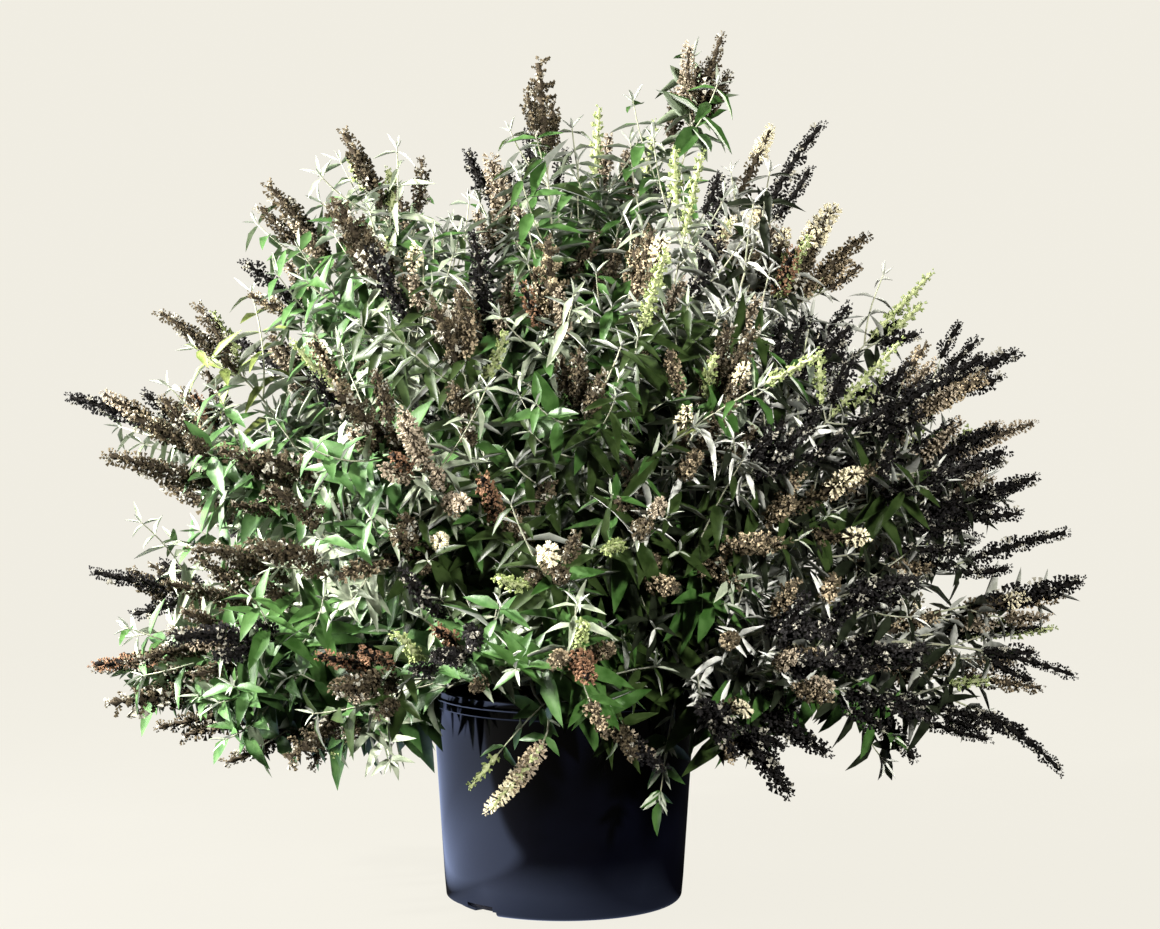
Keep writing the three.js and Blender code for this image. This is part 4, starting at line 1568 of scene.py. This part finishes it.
stool_rings = bark_rings(stool_path, stool_radius, STOOL_SIDES, STOOL_RIDGES)
stool = mesh_object("stool_bark", ringed_mesh("stool_bark", stool_rings, old_bark, WOOD_SHARP))
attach(stool, "root")
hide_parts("stool")
print("stool:", triangles(stool), "triangles")

# %% [markdown]
# Twenty boughs run out from the head, each with one shallow bow to a side of its own. They share a
# finish, so they are joined into one piece.

# %% Paths of the boughs
BOUGH_BASE = 0.006
BOUGH_END = 0.0043
BOUGH_BOW = 0.009
BOUGH_SPANS = 24
BOUGH_SIDES = 14
BOUGH_RIDGES = 0.16
OLD_JOINTS = 0.032


def bough_path(bough, number):
    """A bough runs out along its axis with one shallow bow."""
    sideways = Quaternion(bough.axis, chance(number, 11) * 2 * math.pi) @ square_to(bough.axis)
    points = []
    for index in range(BOUGH_SPANS + 1):
        along = index / BOUGH_SPANS
        out = bough.axis * between(HEAD_RADIUS - 0.004, bough.length + 0.002, along)
        points.append(HEAD + out + sideways * (BOUGH_BOW * math.sin(math.pi * along) ** 2))
    return Path(points)


def bough_radius(share):
    """Radius of a bough at a share of its length."""
    return between(BOUGH_BASE, BOUGH_END, share)


BOUGH_PATHS = [bough_path(bough, number) for number, bough in enumerate(BOUGHS)]
print("the first bough is", round(BOUGH_PATHS[0].length, 3), "m long")

# %% Join the boughs


def joined(name, meshes):
    """One object out of many meshes that share a finish."""
    shape = bmesh.new()
    for mesh in meshes:
        shape.from_mesh(mesh)
    whole = bpy.data.meshes.new(name)
    shape.to_mesh(whole)
    shape.free()
    whole.materials.append(meshes[0].materials[0])
    whole.shade_smooth()
    whole.set_sharp_from_angle(angle=WOOD_SHARP)
    for mesh in meshes:
        bpy.data.meshes.remove(mesh)
    return mesh_object(name, whole)


bough_meshes = []
for path in BOUGH_PATHS:
    rings = bark_rings(path, bough_radius, BOUGH_SIDES, BOUGH_RIDGES, OLD_JOINTS)
    bough_meshes.append(ringed_mesh("bough", rings, young_bark, WOOD_SHARP))
boughs = joined("boughs", bough_meshes)
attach(boughs, "root")
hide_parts(*BOUGH_NODES)
print("boughs:", triangles(boughs), "triangles")

# %% [markdown]
# Boughs aren't bare: short leafy twigs sprout from them, fill the inside of the crown and hang over
# the brim. The helper for whole shoots grows them too.

# %% Leafy twigs on the boughs
BOUGH_JOINTS = 5


def grow_from_bough(bough, path, number):
    """The short leafy twigs of one bough."""
    for joint in range(BOUGH_JOINTS):
        distance = between(0.05, path.length - 0.01, (joint + 0.5) / BOUGH_JOINTS)
        centre, tangent, upward, across = path.sides_at(distance, chance(number, 95) * 3.1)
        centre = centre - HEAD
        sideways = upward if joint % 2 else across
        key = 3000 + number * 32 + joint * 4
        tint = spray_tint(bough.axis, key)
        add_pair(centre, tangent, sideways, 0.095, tint, key)
        for half, outward in enumerate((sideways, -sideways)):
            length = between(0.09, 0.17, chance(key + half, 96))
            leaving = (outward + tangent * 0.8).normalized()
            rising = (tangent + Vector((0, 0, 0.1))).normalized()
            end = centre + leaving * (0.5 * length) + rising * (0.5 * length)
            if chance(key + half, 97) < 0.8 and clear_of_pot(end) and end.z + HEAD.z > LOW_END:
                handles = centre + leaving * (0.35 * length), end - tangent * (0.3 * length)
                twig = bent_path(centre, *handles, end, 8)
                grow_shoot(twig, 0.0, FINE_RADII, 0.01, tint, "brown", 0.6, key + half, 0.3)


for number, (bough, path) in enumerate(zip(BOUGHS, BOUGH_PATHS)):
    grow_from_bough(bough, path, number)
print("leaves:", sum(map(len, LEAVES.values())), "and in tufts:", sum(map(len, LITTLE.values())))
print("twigs:", len(TWIGS), "and spikes:", len(SPIKES))

# %% [markdown]
# ## Twigs
#
# A young twig is thin, square in section and covered in pale felt. Each could be a cylinder of its
# own, but there are far too many. Geometry Nodes sweep a small ring along every path instead. The
# radius is stored on the points of the path, so that each twig thins out towards its tip.

# %% A tree that sweeps strands
tree, given, result = new_tree("swept_twigs", {"Sides": "Int", "Finish": "Material"})
ring = add_node(tree, "GeometryNodeCurvePrimitiveCircle", {"Resolution": given["Sides"], "Radius": 1.0})
swept = add_node(tree, "GeometryNodeCurveToMesh", {
    "Curve": given["Geometry"], "Profile Curve": ring.outputs["Curve"], "Fill Caps": True,
})
if "Scale" in swept.inputs:  # without this input the node uses the radius by itself
    tree.links.new(add_node(tree, "GeometryNodeInputRadius").outputs[0], swept.inputs["Scale"])
made = real_geometry(tree, swept.outputs["Mesh"], smooth=True)
tree.links.new(dressed(tree, made, given["Finish"]), result["Geometry"])
twig_tree = tree
print("the tree of twigs has", len(tree.nodes), "nodes")

# %% Sweep the twigs
TWIG_SIDES = 4
TWIG_STEP = 0.022


def strands(name, rows):
    """A curve object with one strand for each row of (point, radius) pairs."""
    curve = bpy.data.curves.new(name, "CURVE")
    curve.dimensions = "3D"
    for row in rows:
        spline = curve.splines.new("POLY")
        spline.points.add(len(row) - 1)
        spline.points.foreach_set("co", [part for point, _ in row for part in (*(point + HEAD), 1.0)])
        spline.points.foreach_set("radius", [radius for _, radius in row])
    strand = bpy.data.objects.new(name, curve)
    bpy.context.scene.collection.objects.link(strand)
    return strand


def twig_row(path, end, thick, thin):
    """The points of a twig a fixed step apart, up to its end, with its radius at each."""
    count = max(2, round(end / TWIG_STEP))
    shares = [index / count for index in range(count + 1)]
    return [(path.at(between(0.0, end, share))[0], between(thick, thin, share)) for share in shares]


felted_stem = blotched(
    "felted_stem", [(0.2, 0.22, 0.13), (0.3, 0.31, 0.22), (0.23, 0.23, 0.15)], 60.0, 0.85,
    relief=0.3, relief_scale=900.0, Sheen_Weight=0.25,
)
twig_rows = [twig_row(path, end, thick, thin) for path, thick, thin, end in TWIGS]
twig_axes = strands("twig_paths", twig_rows)
twigs = kept_result(twig_axes, twig_tree, {"Sides": TWIG_SIDES, "Finish": felted_stem}, "twigs")
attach(twigs, "root")
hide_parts(*FOLIAGE_NODES)
print("twigs:", triangles(twigs), "triangles")

# %% [markdown]
# ## Leaves
#
# The leaf is a long lance, folded a little along its rib and arched over towards its point. A flat
# card with a leaf's outline would be lighter, but it has no thickness and catches the light like
# paper. So a leaf form is a thin closed body of about thirty faces, one unit long. Its faces know
# whether they belong to the underside, which gets a finish of its own.

# %% A leaf form
KEEL = 0.022
FOLD = 0.18
RIPPLE = 0.012


def edges_of(faces):
    """The edges of some faces as sorted pairs of points."""
    return {tuple(sorted(pair)) for face in faces for pair in zip(face, face[1:] + face[:1])}


def leaf_form(name, stations, arch, curl, wave):
    """A thin closed leaf from root (0, 0, 0) to point, one long and up to one wide."""
    points = [Vector((0, 0, 0))]
    for index, (x, half) in enumerate(stations):
        lift = -arch * x * x
        sway = curl * x * x
        rim = FOLD * half + wave * (RIPPLE if index % 2 else -RIPPLE)
        points += [Vector((x, half + sway, lift + rim)), Vector((x, sway, lift))]
        points += [Vector((x, sway - half, lift + rim)), Vector((x, sway, lift - KEEL))]
    points.append(Vector((1.0, curl, -arch)))
    last = len(points) - 1
    upper = [(0, 2, 1), (0, 3, 2)]
    under = [(0, 1, 4), (0, 4, 3)]
    for index in range(len(stations) - 1):
        left, rib, right, keel = (1 + 4 * index + part for part in range(4))
        upper += [(left, rib, rib + 4, left + 4), (rib, right, right + 4, rib + 4)]
        under += [(left, left + 4, keel + 4, keel), (keel, keel + 4, right + 4, right)]
    left, rib, right, keel = (last - 4 + part for part in range(4))
    upper += [(left, rib, last), (rib, right, last)]
    under += [(left, last, keel), (keel, last, right)]
    mesh = bpy.data.meshes.new(name)
    mesh.from_pydata(points, [], upper + under)
    side = mesh.attributes.new("underside", "BOOLEAN", "FACE")
    side.data.foreach_set("value", [False] * len(upper) + [True] * len(under))
    rim_edges = edges_of(under) & edges_of(upper)
    sharp = mesh.attributes.new("sharp_edge", "BOOLEAN", "EDGE")
    sharp.data.foreach_set("value", [tuple(sorted(edge.vertices)) in rim_edges for edge in mesh.edges])
    return mesh


print("edges of one triangle:", sorted(edges_of([(0, 1, 2)])))

# %% [markdown]
# Eight big forms and two little ones, which differ in outline, arch, curl and wave, hide the repeats.
# They go into folders, because Geometry Nodes can pick a form from a folder by its number.

# %% Folders of leaf forms
LANCE = [(0.07, 0.16), (0.28, 0.43), (0.55, 0.42), (0.81, 0.22)]  # place along the leaf, half width
SIDE_LANCE = [(0.12, 0.25), (0.42, 0.46), (0.76, 0.26)]
SHORT_LANCE = [(0.25, 0.42), (0.65, 0.36)]


def form_folder(name, forms):
    """A collection that holds the forms in the order of their numbers."""
    folder = bpy.data.collections.new(name)
    bpy.context.scene.collection.children.link(folder)
    for mesh in forms:
        folder.objects.link(bpy.data.objects.new(mesh.name, mesh))
    return folder


big_forms = form_folder("big_forms", [
    leaf_form("form_0", LANCE, 0.16, 0.03, 0.3), leaf_form("form_1", LANCE, 0.30, -0.05, 0.6),
    leaf_form("form_2", LANCE, 0.46, 0.06, 0.2), leaf_form("form_3", LANCE, 0.24, 0.10, 0.9),
    leaf_form("form_4", LANCE, 0.60, -0.08, 0.4), leaf_form("form_5", SIDE_LANCE, 0.20, 0.05, 0.4),
    leaf_form("form_6", SIDE_LANCE, 0.42, -0.06, 0.5), leaf_form("form_7", SIDE_LANCE, 0.10, 0.08, 0.2),
])
little_forms = form_folder("little_forms", [
    leaf_form("little_form_0", SHORT_LANCE, 0.12, 0.05, 0.2),
    leaf_form("little_form_1", SHORT_LANCE, -0.08, -0.06, 0.4),
])

# %% [markdown]
# The rows of leaves become a cloud of points. Each point stores the turn, the size and the number of
# its form, and the tree sets that form there. The whole leaf takes the upper finish first, and then
# the faces of the underside take theirs.

# %% A tree that sets leaves


def stored(tree, name, kind):
    """What points or faces have stored under a name."""
    node = add_node(tree, "GeometryNodeInputNamedAttribute", {"Name": name}, data_type=kind)
    return node.outputs["Attribute"]


tree, given, result = new_tree("set_leaves", {
    "Forms": "Collection", "Upper": "Material", "Underside": "Material",
})
forms = add_node(tree, "GeometryNodeCollectionInfo", {
    "Collection": given["Forms"], "Separate Children": True,
})
leaves = add_node(tree, "GeometryNodeInstanceOnPoints", {
    "Points": given["Geometry"], "Instance": forms.outputs["Instances"], "Pick Instance": True,
    "Instance Index": stored(tree, "form", "INT"), "Rotation": stored(tree, "turn", "FLOAT_VECTOR"),
    "Scale": stored(tree, "size", "FLOAT_VECTOR"),
})
made = dressed(tree, real_geometry(tree, leaves.outputs["Instances"], smooth=True), given["Upper"])
made = dressed(tree, made, given["Underside"], Selection=stored(tree, "underside", "BOOLEAN"))
tree.links.new(made, result["Geometry"])
leaf_tree = tree
print("the tree of leaves has", len(tree.nodes), "nodes")

# %% Points that carry leaves


def leaf_points(name, rows):
    """A cloud of points that carry the turn, size and form of their leaves."""
    mesh = bpy.data.meshes.new(name)
    mesh.from_pydata([row[0] + HEAD for row in rows], [], [])
    turns = []
    sizes = []
    for _, along, face, length, width, _ in rows:
        across = face.cross(along).normalized()
        turns += Matrix((along, across, along.cross(across))).transposed().to_euler()
        sizes += (length, length * width, length)
    mesh.attributes.new("turn", "FLOAT_VECTOR", "POINT").data.foreach_set("vector", turns)
    mesh.attributes.new("size", "FLOAT_VECTOR", "POINT").data.foreach_set("vector", sizes)
    mesh.attributes.new("form", "INT", "POINT").data.foreach_set("value", [row[5] for row in rows])
    return mesh_object(name, mesh)


print("leaves to set:", {tint: len(rows) for tint, rows in sorted(LEAVES.items())})

# %% [markdown]
# A leaf's upper side is green and a little glossy, and its underside is silvery felt. Felt is made
# of short hairs that glow at a slant, which Sheen gives. Each tint has a finish for each side.

# %% Finishes of the leaves
LEAF_BLOTCHES = 70.0
GLOSSY_LEAF = 0.42
FELTED_LEAF = 0.85


def leaf_finish(name, colours, gloss=0.4, felt=0.0):
    """The finish of one side of a leaf."""
    rough = FELTED_LEAF if felt else GLOSSY_LEAF
    return blotched(name, colours, LEAF_BLOTCHES, rough, 0.25, 500.0,
                    Sheen_Weight=felt, Specular_IOR_Level=gloss)


silver = leaf_finish("leaf_silver", [(0.27, 0.29, 0.24), (0.4, 0.42, 0.37)], 0.2, 0.2)
green_felt = leaf_finish("leaf_green_felt", [(0.14, 0.19, 0.108), (0.245, 0.3, 0.192)], 0.2, 0.2)
white_felt = leaf_finish("leaf_white_felt", [(0.25, 0.26, 0.215), (0.47, 0.48, 0.43)], 0.2, 0.2)
TINTS = {
    # upper side and underside
    "bright": (leaf_finish("leaf_bright", [(0.028, 0.073, 0.018), (0.06, 0.122, 0.038)]), green_felt),
    "mid": (leaf_finish("leaf_mid", [(0.021, 0.058, 0.0105), (0.047, 0.103, 0.0265)]), green_felt),
    "deep": (leaf_finish("leaf_deep", [(0.0105, 0.02, 0.0045), (0.026, 0.043, 0.012)], 0.35), silver),
    "grey": (leaf_finish("leaf_grey", [(0.172, 0.208, 0.137), (0.3, 0.335, 0.243)]), silver),
    # The near-black tint of the shaded right: painted shade.
    "dusk": (leaf_finish("leaf_dusk", [(0.005, 0.0068, 0.0036), (0.0145, 0.0185, 0.0105)], 0.2), white_felt),
    # The near-white tint of the right: partly pale felt, partly painted highlights.
    "ash": (leaf_finish("leaf_ash", [(0.4, 0.41, 0.36), (0.64, 0.65, 0.6)]), white_felt),
    "turning": (leaf_finish("leaf_turning", [(0.1, 0.135, 0.032), (0.145, 0.175, 0.055)]), silver),
    "young": (leaf_finish("leaf_young", [(0.27, 0.31, 0.225), (0.45, 0.49, 0.39)]), silver),
}
print("tints of leaves:", ", ".join(TINTS))

# %% Set the leaves
LEAVES_IN_A_PIECE = 6000
for store, folder, sort in ((LEAVES, big_forms, "leaves"), (LITTLE, little_forms, "tufts")):
    for tint in sorted(store):
        rows = store[tint]
        upper, under = TINTS[tint]
        for batch in range(0, len(rows), LEAVES_IN_A_PIECE):
            name = f"{sort}_{tint}_{batch // LEAVES_IN_A_PIECE + 1}"
            cloud = leaf_points(name + "_points", rows[batch:batch + LEAVES_IN_A_PIECE])
            values = {"Forms": folder, "Upper": upper, "Underside": under}
            piece = kept_result(cloud, leaf_tree, values, name)
            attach(piece, "root")
            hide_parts(*FOLIAGE_NODES)
            print(name, "has", triangles(piece), "triangles")

# %% [markdown]
# ## Flower spikes
#
# A spike is a bottle brush of small clusters that wind round its axis by the golden angle. When it
# is over, the florets drop and leave dark seed capsules. Some spikes are still in bud, some are in
# bloom, and some fade. Four small forms do it all: clusters of capsules, of buds and of florets, and
# a branchlet of capsules for the stoutest spikes. In a form one unit is the spike's radius.

# %% Buds and capsules
BELLY = 0.6


def around(along, corners):
    """Directions square to an axis, evenly spread round it."""
    side = square_to(along)
    return [Quaternion(along, 2 * math.pi * corner / corners) @ side for corner in range(corners)]


def spindle(points, faces, root, along, length, radius):
    """Adds a three-sided spindle that starts at its root and is widest at its belly."""
    start = len(points)
    belly = root + along * (BELLY * length)
    points += [root, *(belly + out * radius for out in around(along, 3)), root + along * length]
    for corner in range(3):
        turn = (corner + 1) % 3
        faces.append((start, start + 1 + turn, start + 1 + corner))
        faces.append((start + 4, start + 1 + corner, start + 1 + turn))


def wedge(points, faces, root, along, length, radius):
    """Adds an open capsule: a three-sided wedge that widens from its root to a blunt end."""
    start = len(points)
    points.append(root)
    for corner, out in enumerate(around(along, 3)):
        points.append(root + along * (length * (1.0 if corner else 0.8)) + out * radius)
    faces += [(start, start + 2, start + 1), (start, start + 3, start + 2), (start, start + 1, start + 3)]
    faces.append((start + 1, start + 2, start + 3))


def form_object(name, points, faces):
    """An object for a form, from its points and faces."""
    mesh = bpy.data.meshes.new(name)
    mesh.from_pydata(points, [], faces)
    return mesh_object(name, mesh)


def cluster_of(shape, name, count, spread, length, radius, tilt):
    """A cluster of spindles or wedges that fan out from the axis."""
    points = []
    faces = []
    for index in range(count):
        turn = 2 * math.pi * index / count + 0.4
        lean = spread * (0.35 + 0.65 * chance(index, 62))
        along = Vector((1, lean * math.cos(turn), tilt + lean * math.sin(turn))).normalized()
        start = Vector((0.14, 0, 0)) + along * between(0.02, 0.38, chance(index, 63))
        shape(points, faces, start, along, length * between(0.8, 1.1, chance(index, 64)), radius)
    return form_object(name, points, faces)


capsule_form = cluster_of(wedge, "capsule_form", 6, 1.0, 0.46, 0.17, 0.3)
bud_form = cluster_of(spindle, "bud_form", 5, 0.7, 0.55, 0.18, 0.6)
print("triangles:", triangles(capsule_form), "and", triangles(bud_form))

# %% Florets and branchlets


def floret_cluster(name, count, spread):
    """A cluster of trumpets with four round lobes each."""
    points = []
    faces = []
    for index in range(count):
        turn = 2 * math.pi * index / count + 0.9
        along = Vector((1, spread * math.cos(turn), 0.25 + spread * math.sin(turn))).normalized()
        start = len(points)
        rim = along * between(0.85, 1.0, chance(index, 65))
        points += [along * 0.25, rim - along * 0.06]
        for corner, out in enumerate(around(along, 8)):
            width, lift = (0.09, -0.03) if corner % 2 else (0.19, 0.04)
            points.append(rim + out * width + along * lift)
            near = start + 2 + corner
            far = start + 2 + (corner + 1) % 8
            faces += [(start, far, near), (start + 1, near, far)]
    return form_object(name, points, faces)


def branchlet(name, steps, length, radius):
    """A side branch of a stout spike, with capsules all along it."""
    points = []
    faces = []
    for step in range(steps):
        out = Vector((1, 0, 0.35)).normalized() * between(0.2, 0.78, step / (steps - 1))
        for blade in range(3):
            turn = 2.1 * blade + 0.9 * step
            lean = 1.1 - 0.25 * step
            along = Vector((0.8, lean * math.cos(turn), 0.35 + lean * math.sin(turn))).normalized()
            reach = length * between(0.8, 1.15, chance(step * 3 + blade, 67))
            wedge(points, faces, out, along, reach, radius)
    return form_object(name, points, faces)


branch_form = branchlet("branch_form", 4, 0.32, 0.11)
floret_form = floret_cluster("floret_form", 5, 0.75)
print("triangles:", triangles(branch_form), "and", triangles(floret_form))

# %% [markdown]
# One tree makes every bottle brush. It sets points along an axis at an even spacing, turns each a
# golden angle on from the last, and sets a cluster there as large as the axis is thick.

# %% The bottle brush
tree, given, result = new_tree("bottle_brush", {
    "Cluster": "Object", "Spacing": "Float", "Turn": "Float", "Unevenness": "Float", "Seed": "Int",
    "Finish": "Material",
})
even = add_node(tree, "GeometryNodeResampleCurve", {
    "Curve": given["Geometry"], "Length": given["Spacing"],
}, mode="LENGTH")
spots = add_node(tree, "GeometryNodeCurveToPoints", {"Curve": even.outputs["Curve"]}, mode="EVALUATED")
index = add_node(tree, "GeometryNodeInputIndex")
wind = add_math(tree, "MULTIPLY", index.outputs[0], given["Turn"])
about = add_node(tree, "FunctionNodeAxisAngleToRotation", {"Axis": (0, 0, 1), "Angle": wind})
turned = add_node(tree, "FunctionNodeRotateRotation", {
    "Rotation": spots.outputs["Rotation"], "Rotate By": about.outputs["Rotation"],
}, rotation_space="LOCAL")
least = add_math(tree, "SUBTRACT", 1.0, given["Unevenness"])
most = add_math(tree, "ADD", 1.0, given["Unevenness"])
vary = add_node(tree, "FunctionNodeRandomValue", {
    2: least, 3: most, "Seed": given["Seed"],
}, data_type="FLOAT")
radius = add_node(tree, "GeometryNodeInputRadius")
cluster = add_node(tree, "GeometryNodeObjectInfo", {"Object": given["Cluster"]})
brush = add_node(tree, "GeometryNodeInstanceOnPoints", {
    "Points": spots.outputs["Points"], "Instance": cluster.outputs["Geometry"],
    "Rotation": turned.outputs["Rotation"],
    "Scale": add_math(tree, "MULTIPLY", radius.outputs[0], vary.outputs[1]),
})
made = real_geometry(tree, brush.outputs["Instances"])
tree.links.new(dressed(tree, made, given["Finish"]), result["Geometry"])
brush_tree = tree
print("the tree of the bottle brush has", len(tree.nodes), "nodes")

# %% [markdown]
# A spike is laid down as bands along its axis, such as husks below and cream florets above. Each
# band has a stage with its own form, finish and spacing. Some husks also have a wide stage, whose
# branchlets fill out the stoutest spikes.

# %% Stages and looks
UMBER = [(0.014, 0.0115, 0.0075), (0.038, 0.032, 0.02), (0.023, 0.019, 0.012)]
BROWN = [(0.037, 0.0298, 0.018), (0.088, 0.071, 0.0433), (0.055, 0.044, 0.027)]
# The near-black of the spent spikes is partly their own colour and partly painted shade of the right.
SOOT = [(0.0046, 0.0043, 0.0044), (0.0155, 0.0146, 0.0145), (0.0085, 0.008, 0.0082)]
STAGES = {
    # form, spacing of its clusters, unevenness, and the two or three colours of its finish
    "husk_dark": (capsule_form, 0.0033, 0.2, SOOT),
    "husk_umber": (capsule_form, 0.0033, 0.2, UMBER),
    "husk_brown": (capsule_form, 0.0044, 0.25, BROWN),
    "husk_tan": (capsule_form, 0.0045, 0.25, [(0.22, 0.173, 0.11), (0.385, 0.315, 0.208)]),
    "husk_rust": (capsule_form, 0.004, 0.25, [(0.1, 0.052, 0.03), (0.2, 0.118, 0.07)]),
    "husk_umber_wide": (branch_form, 0.0052, 0.22, UMBER),
    "husk_brown_wide": (branch_form, 0.0062, 0.25, BROWN),
    "husk_tan_wide": (branch_form, 0.0066, 0.25, [(0.18, 0.145, 0.088), (0.3, 0.25, 0.16)]),
    "fleck": (capsule_form, 0.017, 0.35, [(0.17, 0.16, 0.125), (0.38, 0.365, 0.305)]),
    "bud_lime": (bud_form, 0.0034, 0.2, [(0.16, 0.2, 0.07), (0.28, 0.33, 0.145)]),
    "floret_cream": (floret_form, 0.0036, 0.25, [(0.55, 0.5, 0.32), (0.76, 0.7, 0.52)]),
    "floret_faded": (floret_form, 0.0045, 0.25, [(0.2, 0.165, 0.115), (0.35, 0.295, 0.22)]),
}
LOOKS = {
    # stage, where its band starts and ends on the spike, and its width against the spike's
    "black": [("husk_dark", 0.0, 1.0, 1.0), ("fleck", 0.05, 0.9, 0.95)],
    "brown": [("husk_umber", 0.0, 0.7, 0.95), ("husk_brown", 0.1, 1.0, 1.0), ("fleck", 0.0, 0.95, 1.03)],
    "tan": [("husk_brown", 0.0, 1.0, 1.0), ("husk_tan", 0.1, 0.9, 0.95)],
    "rust": [("husk_umber", 0.0, 0.5, 0.9), ("husk_rust", 0.05, 1.0, 1.0)],
    "fading": [("husk_brown", 0.0, 0.6, 0.9), ("floret_faded", 0.1, 1.0, 0.95)],
    "bloom": [("husk_brown", 0.0, 0.65, 0.9), ("floret_cream", 0.62, 1.0, 1.1)],
    "opening": [
        ("husk_tan", 0.0, 0.6, 0.95), ("floret_faded", 0.0, 0.5, 0.9), ("floret_cream", 0.45, 1.0, 1.0),
    ],
    "budding": [("bud_lime", 0.0, 1.0, 0.85)],
}
looks = [spike[3] for spike in SPIKES]
print("spikes by look:", {look: looks.count(look) for look in LOOKS})

# %% One band of a spike
OUTLINE = [
    # share of the spike's length from foot to tip, and its width there
    (0.0, 0.66), (0.1, 0.95), (0.25, 1.0), (0.55, 0.95), (0.8, 0.82), (0.94, 0.68), (1.0, 0.5),
]
WHORL = 0.7
BAND_STRIDE = 0.006
BAND_ROUGH = 0.3


def band_row(path, foot, radius, start, end, width, key, stride=BAND_STRIDE, rough=BAND_ROUGH):
    """The points of one band along a spike's axis, with its radius at each."""
    row = []
    spike = path.length - foot
    count = max(3, round(spike * (end - start) / stride))
    for step in range(count + 1):
        share = between(start, end, step / count)
        whorl = WHORL if step % 2 else -WHORL
        uneven = 1 + rough * (whorl + 0.8 * (chance(key * 3 + step, 66) - 0.5))
        thick = radius * width * read_off(OUTLINE, share) * uneven
        row.append((path.at(foot + spike * share)[0], thick))
    return row


print("width at half a spike:", round(read_off(OUTLINE, 0.5), 3))

# %% [markdown]
# Through the middle of a spike runs a knobbly core, so that no light shines through. The tree of the
# twigs makes it too.

# %% Cores of the spikes
CORES = {
    # the looks that share a core, and the colours of its finish
    "core_dark": (("black", "rust"), [(0.004, 0.0036, 0.0033), (0.011, 0.01, 0.009)]),
    "core_brown": (("brown", "tan", "fading", "bloom"), [(0.025, 0.02, 0.014), (0.055, 0.044, 0.03)]),
    "core_live": (("budding", "opening"), [(0.26, 0.3, 0.13), (0.4, 0.43, 0.24)]),
}
WIDE_FROM = 0.019
CORE_END = 0.96
CORE_WIDTH = 0.32
CORE_STRIDE = 0.008
CORE_ROUGH = 0.6
for name, (looks, colours) in CORES.items():
    finish = blotched(name, colours, 260.0, 0.9, 1.0, 700.0, Specular_IOR_Level=0.05)
    rows = [
        band_row(path, foot, min(radius, WIDE_FROM), 0.0, CORE_END, CORE_WIDTH, key, CORE_STRIDE, CORE_ROUGH)
        for path, foot, radius, look, key in SPIKES if look in looks
    ]
    axes = strands(name + "_axes", rows)
    piece = kept_result(axes, twig_tree, {"Sides": TWIG_SIDES, "Finish": finish}, name)
    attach(piece, "root")
    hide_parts(*FOLIAGE_NODES)
    print(name, "has", triangles(piece), "triangles in", len(rows), "spikes")

# %% [markdown]
# Bands of one stage make one piece, or several where that would get too heavy.

# %% Clusters on the spikes
MOST_TRIANGLES = 190000
bands = {stage: [] for stage in STAGES}
for path, foot, radius, look, key in SPIKES:
    for stage, start, end, width in LOOKS[look]:
        if radius > WIDE_FROM and stage + "_wide" in STAGES:
            stage += "_wide"
        bands[stage].append(band_row(path, foot, radius, start, end, width, key))

for number, (stage, (form, spacing, unevenness, colours)) in enumerate(STAGES.items()):
    finish = blotched(stage, colours, 260.0, 0.8, 0.3, 900.0, Specular_IOR_Level=0.08)
    rows = bands[stage]
    clusters = sum(Path([point for point, _ in row]).length / spacing + 1 for row in rows)
    pieces = max(1, math.ceil(clusters * triangles(form) / MOST_TRIANGLES))
    for part in range(pieces):
        name = f"{stage}_{part + 1}"
        dealt = rows[part::pieces]
        piece = kept_result(strands(name + "_axes", dealt), brush_tree, {
            "Cluster": form, "Spacing": spacing, "Turn": math.radians(GOLDEN_TURN),
            "Unevenness": unevenness, "Seed": number, "Finish": finish,
        }, name)
        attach(piece, "root")
        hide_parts(*FOLIAGE_NODES)
        print(name, "has", triangles(piece), "triangles on", len(dealt), "bands")

# %% Put the forms away
for form in (capsule_form, branch_form, bud_form, floret_form):
    bpy.data.objects.remove(form)
for folder in (big_forms, little_forms):
    for form in list(folder.objects):
        bpy.data.objects.remove(form)
    bpy.data.collections.remove(folder)

# %% [markdown]
# ## The count, and the end
#
# The dressed plant must fill the same box as the solids. The last cell counts the triangles of all
# the new meshes.

# %% Count the triangles and finish
looks = [thing for thing in bpy.data.objects if thing.type == "MESH" and thing.name not in NODES]
print("triangles in all:", sum(triangles(thing) for thing in looks))
